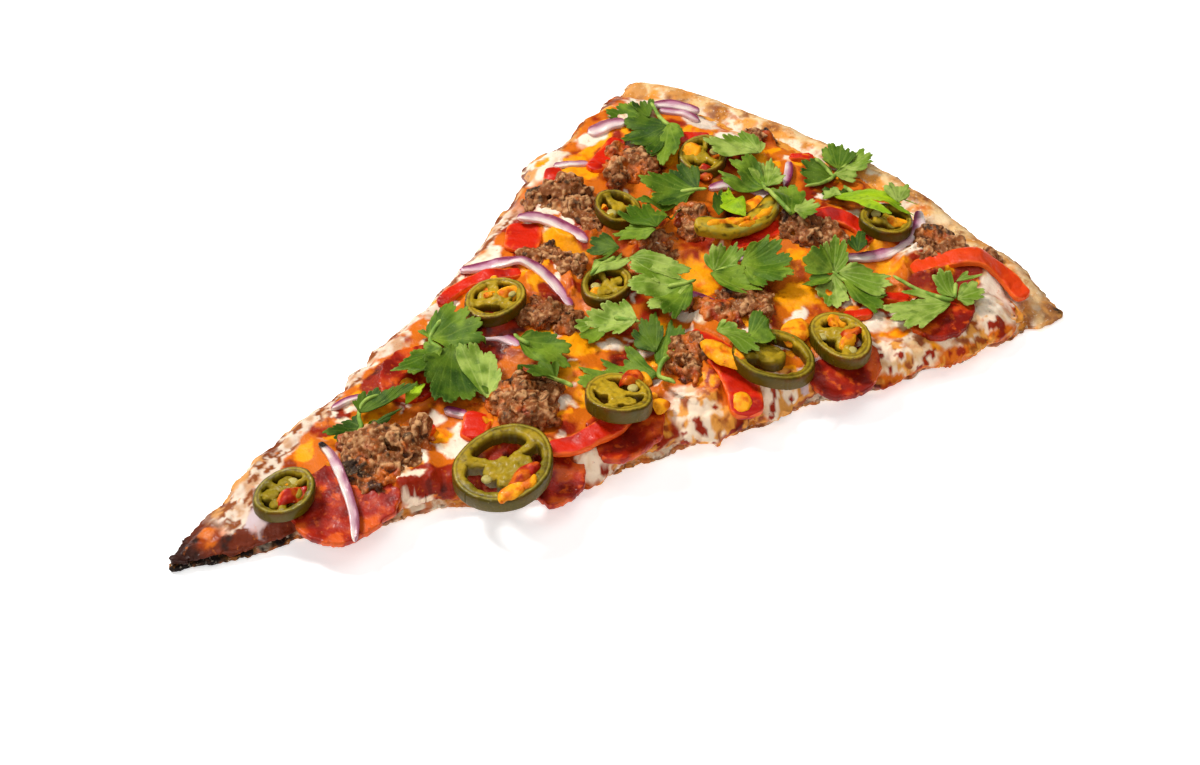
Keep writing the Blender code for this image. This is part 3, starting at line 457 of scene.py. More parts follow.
@dataclass
class Relief:
    """Heights over a square grid of the whole plan, known where a form covers it.

    Attributes:
        height: Heights by grid row (y) and column (x).
        known: Where the form lies.
    """

    height: Array
    known: Array

    LOW = np.array([-9.0, -80.0])
    PITCH = 0.4
    SHAPE = (370, 545)

    @classmethod
    def of(cls, names: Iterable[str], side: Side = Side.TOP) -> "Relief":
        """The highest tops, or the lowest bottoms, of some CAD nodes.

        Each triangle is filled with points half a cell apart, weighted by shares of its corners.

        Args:
            names: The nodes.
            side: Tops or bottoms.

        Returns:
            Their relief.
        """
        triangles = np.vstack([facing(node_triangles(name), side) for name in names])
        longest = np.linalg.norm(triangles - np.roll(triangles, 1, axis=1), axis=2).max(axis=1)
        steps = 2 ** np.ceil(np.log2(np.maximum(longest / (0.5 * cls.PITCH), 1))).astype(int)
        height = np.full(cls.SHAPE, -1e3)
        for count in np.unique(steps):
            i, j = np.indices((count + 1, count + 1)).reshape(2, -1)
            i, j = i[i + j <= count] / count, j[i + j <= count] / count
            place = np.einsum("mk,tkc->tmc", np.column_stack([1 - i - j, i, j]), triangles[steps == count])
            place = place.reshape(-1, 3)
            column, row = np.round((place[:, :2] - cls.LOW) / cls.PITCH).astype(int).T
            np.maximum.at(height, (row, column), place[:, 2] * side.value)
        known = height > -900
        return cls(np.where(known, height * side.value, 0.0), known)

    @classmethod
    def plan(cls) -> Array:
        """Plan points of every cell, as rows."""
        rows, columns = np.indices(cls.SHAPE)
        return np.column_stack([columns.ravel(), rows.ravel()]) * cls.PITCH + cls.LOW

    def box(self, margin: int) -> tuple[slice, slice]:
        """Rows and columns round the known cells.

        Args:
            margin: How many cells more on each side.

        Returns:
            Both ranges.
        """
        rows, columns = np.nonzero(self.known)
        return (
            slice(max(rows.min() - margin, 0), rows.max() + margin + 1),
            slice(max(columns.min() - margin, 0), columns.max() + margin + 1),
        )

    def grown(self, distance: float) -> "Relief":
        """The relief carried outwards: each new cell takes the mean of its known neighbours.

        Args:
            distance: How far, in millimetres.

        Returns:
            A wider relief.
        """
        steps = int(round(distance / self.PITCH))
        part = self.box(steps + 2)
        height, known = self.height[part].copy(), self.known[part].astype(float)
        for _ in range(steps):
            total, count = np.zeros_like(height), np.zeros_like(height)
            for shift in ((0, 1), (0, -1), (1, 0), (-1, 0)):
                total += np.roll(height * known, shift, axis=(0, 1))
                count += np.roll(known, shift, axis=(0, 1))
            fresh = (known == 0) & (count > 0)
            height[fresh] = total[fresh] / count[fresh]
            known[fresh] = 1.0
        result = Relief(self.height.copy(), self.known.copy())
        result.height[part], result.known[part] = height, known > 0
        return result

    def smoothed(self, distance: float) -> "Relief":
        """Known heights blended by repeated means of three by three cells.

        Args:
            distance: Over how many millimetres, about.

        Returns:
            A smoother relief.
        """
        passes = max(1, int(round((distance / self.PITCH) ** 2 * 1.5)))
        part = self.box(2)
        height, known = self.height[part].copy(), self.known[part].astype(float)
        for _ in range(passes):
            total, count = height * known, known.copy()
            for axis in (0, 1):
                total = total + np.roll(total, 1, axis) + np.roll(total, -1, axis)
                count = count + np.roll(count, 1, axis) + np.roll(count, -1, axis)
            height = np.where(known > 0, total / np.maximum(count, 1), height)
        result = Relief(self.height.copy(), self.known)
        result.height[part] = height
        return result

    def at(self, points: Array, missing: float = 0.0) -> Array:
        """Heights at plan points, blended between the four nearest cells.

        Args:
            points: Rows whose first two numbers are the plan.
            missing: The height where nothing is known.

        Returns:
            One height for each row.
        """
        height = np.where(self.known, self.height, missing)
        cell = (points[:, :2] - self.LOW) / self.PITCH
        cell = np.clip(cell, 0, (self.SHAPE[1] - 1.001, self.SHAPE[0] - 1.001))
        column, row = np.floor(cell).astype(int).T
        u, v = (cell - np.floor(cell)).T
        low = height[row, column] * (1 - u) + height[row, column + 1] * u
        high = height[row + 1, column] * (1 - u) + height[row + 1, column + 1] * u
        return low * (1 - v) + high * v

    def edge(self, reach: float) -> "Relief":
        """Distance to the form's edge, positive inside it, as a relief of its own.

        For each cell: the least of (columns away)^2 + (rows to the nearest cell of the other kind)^2.

        Args:
            reach: The greatest distance that matters.

        Returns:
            A relief of distances, known everywhere.
        """
        steps = int(reach / self.PITCH) + 1
        rows = np.arange(self.SHAPE[0])[:, None]
        result = np.zeros(self.SHAPE)
        for mask, sign in ((self.known, 1.0), (~self.known, -1.0)):
            before = np.maximum.accumulate(np.where(mask, -9999, rows), axis=0)
            after = np.minimum.accumulate(np.where(mask, 9999, rows)[::-1], axis=0)[::-1]
            near = np.minimum(np.minimum(rows - before, after - rows), steps).astype(float)
            best = near**2
            for away in range(1, steps + 1):
                for shift in (away, -away):
                    best = np.minimum(best, np.roll(near, shift, axis=1) ** 2 + away**2)
            result += sign * np.maximum(np.sqrt(best) - 0.5, 0) * self.PITCH
        return Relief(result, np.ones(self.SHAPE, bool))


@dataclass
class Bearing:
    """The two heights between which a piece lies: its lower and its upper face."""

    low: Relief
    high: Relief

    THINNEST = 0.2

    @classmethod
    def node(cls, name: str, blend: float = 0.8, reach: float = 3.2) -> "Bearing":
        """A CAD node's own faces, carried out past its outline and freed of their facets."""
        return cls(*(Relief.of([name], side).grown(reach).smoothed(blend) for side in (Side.BOTTOM, Side.TOP)))

    @classmethod
    def on(cls, ground: Relief, sunk: float, thickness: float) -> "Bearing":
        """A place on top of a relief, sunk into it a little."""
        return cls(*(Relief(ground.height + lift, ground.known) for lift in (-sunk, thickness - sunk)))

    def at(self, points: Array, share: Array | float) -> Array:
        """Heights at plan points, at a share of the way from the lower face to the upper."""
        low, high = self.low.at(points), self.high.at(points)
        return low + (np.maximum(high, low + self.THINNEST) - low) * share


@dataclass
class Sheet:
    """A flat lattice of small triangles cut off along the zero line of a field.

    Attributes:
        plan: Plan points.
        triangles: Anticlockwise triangles.
        border: Edges round the outside, the sheet on their left.
    """

    plan: Array
    triangles: Array
    border: Array

    ROW = 0.866  # The rows' spacing as a share of the points' spacing in a row.

    @classmethod
    def cut(cls, inside: Callable[[Array], Array], low: Place, high: Place, pitch: float) -> "Sheet":
        """Lays a lattice, moves the points near the zero line on to it and drops what lies outside.

        Args:
            inside: Distance in from the edge, at rows of plan points.
            low: The least x and y.
            high: The greatest x and y.
            pitch: The lattice's spacing.

        Returns:
            The sheet.
        """
        columns, rows = np.ceil(np.subtract(high, low) / (pitch, pitch * cls.ROW)).astype(int) + 2
        row, column = np.indices((rows, columns))
        plan = np.column_stack([(column + 0.5 * (row % 2)).ravel() * pitch, row.ravel() * pitch * cls.ROW]) + low
        index = np.arange(rows * columns).reshape(rows, columns)
        a, b, c, d = index[:-1, :-1], index[:-1, 1:], index[1:, 1:], index[1:, :-1]
        even = (np.arange(rows - 1) % 2 == 0)[:, None]
        third = np.where(even, d, c)
        triangles = np.concatenate([
            np.stack([a, b, third], -1).reshape(-1, 3),
            np.stack([np.where(even, b, a), c, d], -1).reshape(-1, 3),
        ])
        value = inside(plan)
        near = np.abs(value) < 0.5 * pitch
        step = 0.2 * pitch
        for _ in range(2):
            place = plan[near]
            here = inside(place)
            slope = np.column_stack([inside(place + (step, 0)) - here, inside(place + (0, step)) - here]) / step
            move = slope * (here / np.maximum((slope**2).sum(axis=1), 0.25))[:, None]
            length = np.linalg.norm(move, axis=1, keepdims=True)
            plan[near] = place - move * np.minimum(1.0, 0.45 * pitch / np.maximum(length, 1e-9))
        value[near] = 0.0
        kept = (value[triangles] >= 0).all(axis=1)
        loose = kept & near[triangles].all(axis=1)
        kept[loose] = inside(plan[triangles[loose]].mean(axis=1)) > 0
        return cls.trimmed(plan, triangles[kept])

    @classmethod
    def trimmed(cls, plan: Array, triangles: Array) -> "Sheet":
        """Removes triangles round points where the outline would touch itself, and unused points.

        Args:
            plan: Plan points.
            triangles: Triangles to keep where possible.

        Returns:
            The sheet.
        """
        for _ in range(6):
            edges = np.vstack([triangles[:, [0, 1]], triangles[:, [1, 2]], triangles[:, [2, 0]]])
            code, twin = edges @ [len(plan), 1], edges[:, ::-1] @ [len(plan), 1]
            border = edges[~np.isin(code, twin)]
            crossed = np.bincount(border[:, 0], minlength=len(plan)) > 1
            if not crossed.any():
                break
            triangles = triangles[~crossed[triangles].any(axis=1)]
        used, index = np.unique(triangles, return_inverse=True)
        place = np.full(len(plan), -1)
        place[used] = np.arange(len(used))
        return cls(plan[used], index.reshape(-1, 3), place[border])

    def outward(self) -> tuple[Array, Array]:
        """The border and the way out of it.

        Returns:
            Its point numbers and their outward directions in plan.
        """
        a, b = self.border.T
        along = unit(self.plan[b] - self.plan[a])
        away = np.zeros((len(self.plan), 2))
        for ends in (a, b):
            np.add.at(away, ends, np.column_stack([along[:, 1], -along[:, 0]]))
        ring = np.unique(a)
        return ring, unit(away[ring])

    def solid(self, bottom: Array, top: Array, rings: Points, fan: bool = False) -> Form:
        """The sheet given two faces and a side.

        Args:
            bottom: Heights of the lower face.
            top: Heights of the upper face.
            rings: The side's profile from the bottom up: (outward, share of the height), where outward is a
                number or one for each border point.
            fan: Shuts the lower face with long triangles from one middle point, for a hidden face.

        Returns:
            The closed form: upper points first, then the side's rings, then the lower points.
        """
        count = len(self.plan)
        ring, away = self.outward()
        spot = np.full(count, -1)
        spot[ring] = np.arange(len(ring))
        a, b = self.border.T
        points, faces = [np.column_stack([self.plan, top])], [self.triangles]
        levels = []
        for out, share in rings:
            height = bottom[ring] + (top[ring] - bottom[ring]) * share
            levels.append(sum(len(p) for p in points) + spot)
            points.append(np.column_stack([self.plan[ring] + away * np.reshape(out, (-1, 1)), height]))
        base = sum(len(p) for p in points)
        if fan:
            points += [np.column_stack([self.plan[ring], bottom[ring]])]
            points += [np.append(self.plan.mean(axis=0), bottom.mean())[None]]
            faces.append(np.column_stack([b * 0 + base + len(ring), base + spot[b], base + spot[a]]))
            low = base + spot
        else:
            points.append(np.column_stack([self.plan, bottom]))
            faces.append(self.triangles[:, ::-1] + base)
            low = base + np.arange(count)
        for under, over in zip([low, *levels], [*levels, np.arange(count)]):
            faces += [np.column_stack([under[a], under[b], over[b]]), np.column_stack([under[a], over[b], over[a]])]
        return Form(np.vstack(points), np.vstack(faces))


# ---------------------------------------------------------------- finishes


class Pattern(Enum):
    """The kinds of fine pattern in a surface."""

    NOISE = "ShaderNodeTexNoise"
    CELLS = "ShaderNodeTexVoronoi"


@dataclass(frozen=True)
class Grain:
    """Fine relief: how wide and deep its features are in millimetres, and how often longer than wide.

    A stretch of more than 1 follows the piece.
    """

    size: float
    depth: float
    pattern: Pattern = Pattern.NOISE
    stretch: float = 1.0


@dataclass(frozen=True)
class Fleck:
    """Patches of another colour: screen colour (0 to 255), width in millimetres, the pattern's values
    where they start and where they are full, the most that they cover, and how often longer than wide.
    """

    colour: tuple[float, float, float]
    size: float
    low: float
    high: float
    strength: float = 1.0
    stretch: float = 1.0


def settle(node: bpy.types.ShaderNode, values: dict[str, float | tuple[float, ...]]) -> None:
    """Sets a node's inputs by their names."""
    for name, value in values.items():
        node.inputs[name].default_value = value


def attribute(material: bpy.types.Material, name: str) -> bpy.types.NodeOutputs:
    """A new node that reads one of the mesh's attributes.

    Args:
        material: Where the node goes.
        name: The attribute.

    Returns:
        The node's outputs.
    """
    node = material.node_tree.nodes.new("ShaderNodeAttribute")
    node.attribute_name = name
    return node.outputs


@dataclass(frozen=True)
class Finish:
    """How a food's surface looks.

    Attributes:
        name: The material's name.
        rough: Roughness where gloss is 0.
        polished: Roughness where gloss is 1.
        coat: Weight of the wet layer on top.
        coat_rough: Roughness of the wet layer.
        scatter: Share of light that passes under the surface.
        depth: How deep red, green and blue light go, in millimetres.
        specular: Strength of the plain reflection.
        grains: Fine reliefs.
        flecks: Colour patches.
    """

    name: str
    rough: float
    polished: float
    coat: float = 0.0
    coat_rough: float = 0.12
    scatter: float = 0.0
    depth: tuple[float, float, float] = (1.0, 0.5, 0.3)
    specular: float = 0.5
    grains: tuple[Grain, ...] = ()
    flecks: tuple[Fleck, ...] = ()

    def material(self) -> bpy.types.Material:
        """The finish as a material, made once.

        Colour is the tint attribute under its flecks, roughness follows the gloss attribute, and the
        grains are chained bumps.

        Returns:
            The Blender material.
        """
        known = bpy.data.materials.get(self.name)
        if known:
            return known
        material = bpy.data.materials.new(self.name)
        material.use_nodes = True
        nodes, links = material.node_tree.nodes, material.node_tree.links
        shader = nodes["Principled BSDF"]
        settle(shader, {
            "Coat Weight": self.coat, "Coat Roughness": self.coat_rough, "Subsurface Weight": self.scatter,
            "Subsurface Radius": self.depth, "Subsurface Scale": MM, "Specular IOR Level": self.specular,
        })

        colour = attribute(material, "tint")["Color"]
        for number, fleck in enumerate(self.flecks):
            value = self.pattern(material, Pattern.NOISE, fleck.size, fleck.stretch, 7.3 * number)
            share = nodes.new("ShaderNodeMapRange")
            share.interpolation_type = "SMOOTHSTEP"
            links.new(value, share.inputs["Value"])
            settle(share, {"From Min": fleck.low, "From Max": fleck.high, "To Max": fleck.strength})
            blend = nodes.new("ShaderNodeMix")
            blend.data_type = "RGBA"
            links.new(share.outputs["Result"], blend.inputs["Factor"])
            links.new(colour, blend.inputs["A"])
            blend.inputs["B"].default_value = (*tone(*fleck.colour), 1.0)
            colour = blend.outputs["Result"]
        links.new(colour, shader.inputs["Base Color"])

        gloss = attribute(material, "gloss")["Fac"]
        uneven = self.pattern(material, Pattern.NOISE, 1.7, 1.0, 31.0)
        varied = nodes.new("ShaderNodeMath")
        varied.operation = "MULTIPLY_ADD"
        links.new(uneven, varied.inputs[0])
        varied.inputs[1].default_value = 0.5
        links.new(gloss, varied.inputs[2])
        rough = nodes.new("ShaderNodeMapRange")
        links.new(varied.outputs["Value"], rough.inputs["Value"])
        settle(rough, {"From Min": 0.25, "From Max": 1.25, "To Min": self.rough, "To Max": self.polished})
        links.new(rough.outputs["Result"], shader.inputs["Roughness"])

        normal = None
        for number, grain in enumerate(self.grains):
            value = self.pattern(material, grain.pattern, grain.size, grain.stretch, 3.1 + 5.9 * number)
            bump = nodes.new("ShaderNodeBump")
            settle(bump, {"Strength": 1.0, "Distance": grain.depth * MM})
            links.new(value, bump.inputs["Height"])
            if normal is not None:
                links.new(normal, bump.inputs["Normal"])
            normal = bump.outputs["Normal"]
        if normal is not None:
            links.new(normal, shader.inputs["Normal"])
            if self.coat:
                links.new(normal, shader.inputs["Coat Normal"])
        return material

    @staticmethod
    def pattern(
        material: bpy.types.Material, kind: Pattern, size: float, stretch: float, shift: float
    ) -> bpy.types.NodeSocket:
        """A texture of a real size, over the object or along the piece.

        Args:
            material: Where its nodes go.
            kind: Noise or cells.
            size: Width of its features in millimetres.
            stretch: More than 1 reads the lie attribute, drawn out along its first coordinate.
            shift: Moves the pattern, so that two of one size differ.

        Returns:
            The socket with its value.
        """
        nodes, links = material.node_tree.nodes, material.node_tree.links
        mapping = nodes.new("ShaderNodeMapping")
        if stretch > 1:
            place, scale = attribute(material, "lie")["Vector"], (1 / (size * stretch), 1 / size, 1 / size)
        else:
            place, scale = nodes.new("ShaderNodeTexCoord").outputs["Object"], (1 / (size * MM),) * 3
        links.new(place, mapping.inputs["Vector"])
        settle(mapping, {"Location": (shift, shift * 0.7, shift * 0.3), "Scale": scale})
        texture = nodes.new(kind.value)
        texture.inputs["Scale"].default_value = 1.0
        links.new(mapping.outputs["Vector"], texture.inputs["Vector"])
        if kind is Pattern.NOISE:
            texture.inputs["Detail"].default_value = 3.0
            return texture.outputs["Fac"]
        return texture.outputs["Distance"]


BREAD = Finish(
    "baked_crust", 0.85, 0.45, scatter=0.06, depth=(1.2, 0.7, 0.4), specular=0.2,
    grains=(Grain(2.4, 0.35), Grain(0.7, 0.16), Grain(0.32, 0.05, Pattern.CELLS)),
    flecks=(
        Fleck((222, 140, 48), 4.5, 0.55, 0.70, 0.6), Fleck((196, 124, 48), 2.2, 0.56, 0.72, 0.7),
        Fleck((146, 66, 22), 1.2, 0.66, 0.78, 0.8),
        Fleck((245, 228, 200), 0.8, 0.60, 0.72, 0.5), Fleck((40, 18, 8), 0.7, 0.76, 0.84, 0.8),
    ),
)
SAUCE = Finish(
    "tomato_sauce", 0.55, 0.3, coat=0.12, coat_rough=0.08, scatter=0.03, depth=(1.5, 0.25, 0.1), specular=0.15,
    grains=(Grain(2.2, 0.3), Grain(0.6, 0.08)),
    flecks=(Fleck((214, 84, 18), 1.6, 0.56, 0.74, 0.6), Fleck((70, 10, 4), 1.3, 0.60, 0.74, 0.6)),
)
CHEESE = Finish(
    "melted_cheese", 0.66, 0.40, coat=0.07, coat_rough=0.07, scatter=0.05, depth=(1.2, 0.6, 0.3), specular=0.14,
    grains=(Grain(3.0, 0.22), Grain(0.9, 0.16), Grain(0.4, 0.05)),
    flecks=(
        Fleck((214, 110, 22), 1.5, 0.60, 0.76, 0.55), Fleck((134, 40, 8), 0.8, 0.68, 0.80, 0.6),
        Fleck((252, 214, 150), 0.6, 0.68, 0.80, 0.3),
    ),
)
CURED = Finish(
    "cured_meat", 0.55, 0.36, coat=0.08, coat_rough=0.08, scatter=0.04, depth=(1.5, 0.3, 0.15), specular=0.2,
    grains=(Grain(2.4, 0.2), Grain(0.7, 0.10)),
    flecks=(
        Fleck((228, 96, 20), 1.8, 0.54, 0.70, 0.6), Fleck((246, 180, 120), 0.6, 0.68, 0.78, 0.45),
        Fleck((100, 8, 2), 1.3, 0.62, 0.74, 0.5),
    ),
)
PEPPER = Finish(
    "roasted_pepper", 0.55, 0.36, coat=0.06, coat_rough=0.09, scatter=0.05, depth=(1.6, 0.3, 0.1), specular=0.2,
    grains=(Grain(2.8, 0.25), Grain(0.6, 0.10)),
    flecks=(Fleck((238, 92, 20), 2.0, 0.62, 0.80, 0.45), Fleck((30, 6, 3), 0.45, 0.77, 0.83, 0.85)),
)
ONION = Finish(
    "red_onion", 0.42, 0.2, coat=0.10, coat_rough=0.12, scatter=0.25, specular=0.4, depth=(1.4, 1.0, 0.9),
    grains=(Grain(0.45, 0.10, stretch=14.0), Grain(2.2, 0.12)),
    flecks=(Fleck((176, 100, 132), 0.42, 0.55, 0.72, 0.45, 18.0), Fleck((214, 150, 110), 2.4, 0.62, 0.8, 0.4)),
)
BEEF = Finish(
    "browned_beef", 0.8, 0.30, coat=0.06, coat_rough=0.09, scatter=0.02, depth=(0.8, 0.3, 0.2), specular=0.25,
    grains=(Grain(0.7, 0.22), Grain(0.28, 0.08)),
    flecks=(
        Fleck((214, 172, 124), 0.45, 0.58, 0.72, 0.5), Fleck((190, 92, 14), 1.4, 0.58, 0.74, 0.6),
        Fleck((26, 12, 6), 0.8, 0.66, 0.78, 0.85),
    ),
)
JALAPENO = Finish(
    "pickled_jalapeno", 0.5, 0.32, coat=0.06, coat_rough=0.08, scatter=0.05, depth=(1.0, 0.8, 0.2), specular=0.15,
    grains=(Grain(1.3, 0.16), Grain(0.4, 0.05)),
    flecks=(Fleck((74, 66, 10), 1.3, 0.54, 0.74, 0.45), Fleck((184, 172, 84), 0.6, 0.68, 0.80, 0.35)),
)
LEAF = Finish(
    "cilantro_leaf", 0.7, 0.5, scatter=0.06, depth=(0.4, 0.7, 0.1), specular=0.2,
    grains=(Grain(1.2, 0.14), Grain(0.45, 0.07)),
    flecks=(Fleck((52, 88, 6), 1.4, 0.52, 0.74, 0.45), Fleck((176, 196, 96), 0.45, 0.62, 0.78, 0.35)),
)


# ---------------------------------------------------------------- the slice's layers


@dataclass
class Layers:
    """The reliefs that the pieces are laid on and cut to.

    Attributes:
        crust: The bread's top.
        cheese: The melted cheese's top without its baked bits.
        bed: The same, with the bread's top where no cheese lies.
        toppings: Tops of everything but the leaves.
        undersides: Lower faces of the toppings that lie on the cheese.
    """

    crust: Relief
    cheese: Relief
    bed: Relief
    toppings: Relief
    undersides: Relief

    BAKED = ("cured_", "pepper_", "onion_", "beef_", "jalapeno_")
    # Small bits that the solid cheese carries: (x, y, length, width).
    BITS = (
        (66.5, -15.5, 7.5, 6.5), (57.5, -9.5, 5, 4), (117, -37.5, 11, 4.6), (176.5, 15, 8, 5), (182.5, -48, 7.5, 5.5),
        (163.5, 26, 8.5, 4), (145, -13, 5, 3.2), (128, 37, 8.5, 3.6), (150.5, 42, 7, 4), (173.5, -14.5, 10, 6),
        (180, 5.5, 6, 3.2), (151, -43, 6.5, 3.6), (130.5, 3, 9, 7.5), (172, 1.5, 8, 2.6), (60, 6, 8, 3),
        (84.5, -32, 8, 2.6), (169, 31, 7, 3), (126, -47.5, 6.5, 4.2),
    )

    @classmethod
    def read(cls) -> "Layers":
        """Works the reliefs out from the CAD nodes.

        Returns:
            All five.
        """
        loose = [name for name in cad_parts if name.startswith(cls.BAKED)]
        crust = Relief.of(["crust"]).grown(4.0).smoothed(1.0)
        cheese = Relief.of(["melted_cheese"])
        plan = Relief.plan()
        bare = cheese.known.ravel().copy()
        for x, y, length, width in cls.BITS:
            bare &= np.hypot(*(plan - (x, y)).T) > 0.5 * max(length, width) + 0.9
        smooth = Relief(cheese.height, bare.reshape(cheese.SHAPE)).grown(6.0).smoothed(0.9)
        smooth.known &= cheese.known
        toppings = Relief.of([*loose, "melted_cheese", "crust"])
        undersides = Relief.of(loose, Side.BOTTOM)
        bed = Relief(np.where(smooth.known, smooth.height, crust.height), smooth.known | crust.known)
        return cls(crust, smooth, bed, toppings, undersides)


@dataclass
class Crust:
    """The bread: a thin flat base with ragged cut sides, a freckled top and a low floury rim."""

    layers: Layers
    pitch: float = 0.60
    ragged: float = 0.34
    rim_band: float = 9.5
    blister: float = 0.45
    least: float = 1.0
    draft: float = 0.0035
    # The cut side's profile from the bottom up: (outward, share of the height).
    SIDE = ((-0.25, 0.06), (0.12, 0.22), (0.3, 0.42), (0.34, 0.62), (0.22, 0.80), (0.05, 0.94))
    flour = tone(244, 222, 186)
    cream = tone(236, 198, 142)
    golden = tone(206, 138, 62)
    brown = tone(138, 74, 30)
    oil = tone(204, 92, 22)
    char = tone(26, 14, 8)
    # Toasted places: (x, y, radius).
    TOASTED = (
        (191, -66, 5), (184, -63.5, 3), (193, -20, 5), (189, 2, 4), (178, 33, 4), (166, 52, 5), (174, 43, 4),
        (194.5, -40, 4), (184.5, 20, 3), (130, 43, 5), (120, 39.5, 3),
    )
    # Burnt places on the edge: (x, y, radius).
    BURNT = (
        (0.5, -2, 6.5), (7, -4.6, 4.5), (13, -7, 4), (20, -9.2, 3.6), (27, -11.6, 3.2), (34, -14, 2.6), (33, 9.5, 2.8),
        (60, -26.5, 2), (126, 40.5, 1.8), (122, -47.5, 2.6), (161, -68.5, 2.4), (153, -63.5, 2.2), (192, -65.5, 1.2),
    )

    def build(self) -> bpy.types.Object:
        """Lays the bread's own relief over a fine lattice and crumbles its cut sides.

        Returns:
            The crust.
        """
        own = Relief.of(["crust"])
        edge = own.edge(6.0)

        def inside(plan: Array) -> Array:
            """Distance in from the solid's outline, roughened where it is cut."""
            return bitten(edge.at(plan) + 0.45, plan) + self.ragged * noise(plan, 2.6, 3, 4)

        sheet = Sheet.cut(inside, PLAN_LOW, PLAN_HIGH, self.pitch)
        plan = sheet.plan
        reach, depth = rim_reach(plan), inside(plan)
        bumps = np.maximum(noise(plan, 7.0, 2, 8), 0) * self.blister + 0.10 * noise(plan, 1.5, 2, 9)
        top = self.layers.crust.at(plan) + bumps * ease(self.rim_band - reach, -1.0, 3.0)
        top = top - 0.7 * (1 - ease(depth, 0.0, 1.6)) + 0.12 * noise(plan, 1.6, 2, 10)
        ring, _ = sheet.outward()
        rings = []
        for level, (out, share) in enumerate(self.SIDE):
            torn = noise(np.column_stack([plan[ring], np.full(len(ring), 3.0 * level)]), 1.5, 2, 12)
            rings.append((out + 0.15 + 0.38 * torn, share))
        form = sheet.solid(np.zeros(len(plan)), np.maximum(top, self.least), rings)
        form.points[-len(plan):, :2] = plan - self.draft * (plan - plan.mean(axis=0))
        return self.dress(form, len(plan)).place("crust_bread", BREAD, "crust", "crust")

    def dress(self, form: Form, count: int) -> Form:
        """Colours the bread: cream top, golden rim, brown edge, oily cut sides, charred places.

        Args:
            form: The bread.
            count: How many points its upper face has.

        Returns:
            The coloured form.
        """
        p = form.points
        reach, height = rim_reach(p), p[:, 2]
        broad, fine = noise(p, 6.0, 3, 21), noise(p, 1.4, 3, 22)
        tint = mix(self.cream, self.golden, ease(broad + 0.5 * fine, 0.1, 1.0) * 0.85)
        tint = mix(tint, self.flour, ease(-broad + 0.4 * fine, 0.2, 0.9) * 0.7)
        rim = ease(-reach, -3.4, -0.4)
        tint = mix(tint, self.brown, rim * ease(0.6 * noise(p, 3.0, 3, 23) + 0.5, 0.1, 1.0) * 0.85)
        crisp = ease(noise(p, 4.6, 3, 27) + 0.3 * fine, 0.25, 0.75) * ease(-reach, -13.0, -3.0)
        tint = mix(tint, mix(self.golden, self.brown, ease(fine, -0.3, 0.5)), crisp * 0.9)
        tint = mix(tint, self.flour, ease(noise(p, 3.2, 2, 28), 0.1, 0.7) * 0.5 * (1 - rim))
        smear = ease(reach + 2.5 * noise(p, 4.0, 2, 29), 4.6, 6.2)
        melted = mix(tone(242, 226, 200), tone(232, 146, 40), ease(noise(p, 3.4, 3, 30), -0.1, 0.3))
        tint = mix(tint, mix(melted, self.oil, ease(fine, 0.3, 0.8) * 0.8), smear * 0.85)
        side = np.zeros(len(p))
        side[count:-count] = 1.0
        cut = side * ease(reach, 3.0, 8.0)
        tint = mix(tint, self.oil * 0.8, cut * ease(noise(p, 2.2, 3, 24), -0.6, 0.4) * 0.85)
        tint = mix(tint, self.brown * 0.5, cut * ease(noise(p, 1.3, 2, 25), 0.0, 0.6) * 0.8)
        under = ease(0.5 - height, 0.0, 0.45)
        tint = mix(tint, mix(tone(214, 168, 112), tone(128, 74, 36), ease(noise(p, 7.0, 3, 26), 0.0, 0.7)), under)
        for away in spots(p, self.TOASTED):
            toasted = 1 - ease(away + 0.5 * broad + 0.3 * fine, 0.6, 1.1)
            tint = mix(tint, mix(self.golden, self.brown, ease(broad + fine, -0.4, 0.4)), 0.9 * toasted)
        for away in spots(p, self.BURNT):
            tint = mix(tint, self.char, 1 - ease(away + 0.35 * fine, 0.6, 1.15))
        return form.paint(tint, 0.15 + 0.5 * cut + 0.2 * ease(noise(p, 7.0, 2, 8), 0.4, 0.8))


@dataclass
class Sauce:
    """The tomato layer that shows between the bread and the cheese along the cuts and at the tip."""

    layers: Layers
    pitch: float = 0.8
    thick: float = 1.15
    red = tone(140, 26, 8)
    dark = tone(84, 14, 5)
    baked = tone(226, 150, 60)

    def build(self) -> bpy.types.Object:
        """A thin lumpy sheet that bulges a little past the bread's top edge.

        Returns:
            The sauce.
        """
        edge = Relief.of(["tomato_sauce"]).edge(5.0)

        def inside(plan: Array) -> Array:
            """Distance in from the solid's outline, in lobes."""
            return edge.at(plan) + 0.1 + 0.4 * noise(plan, 3.5, 2, 31)

        sheet = Sheet.cut(inside, PLAN_LOW, PLAN_HIGH, self.pitch)
        plan = sheet.plan
        floor = self.layers.crust.at(plan)
        bottom = floor + 0.05
        under_cheese = np.maximum(self.layers.cheese.at(plan), floor + 0.9) - 0.25
        top = np.minimum(floor + self.thick + 0.15 * noise(plan, 2.5, 2, 32), under_cheese)
        ring, _ = sheet.outward()
        lobes = 0.25 + 0.3 * noise(plan[ring], 2.2, 2, 33)
        side = [(lobes * 0.7, 0.1), (lobes, 0.45), (lobes * 0.7, 0.85)]
        form = sheet.solid(bottom, np.maximum(top, bottom + 0.4), side, fan=True)
        tint = mix(self.red, self.dark, ease(noise(form.points, 2.5, 3, 34), -0.2, 0.7))
        tint = mix(tint, self.baked, 1 - ease(rim_reach(form.points), 12, 18))
        return form.paint(tint, 0.6).place("tomato_sauce_layer", SAUCE, "sauce", "tomato_sauce")


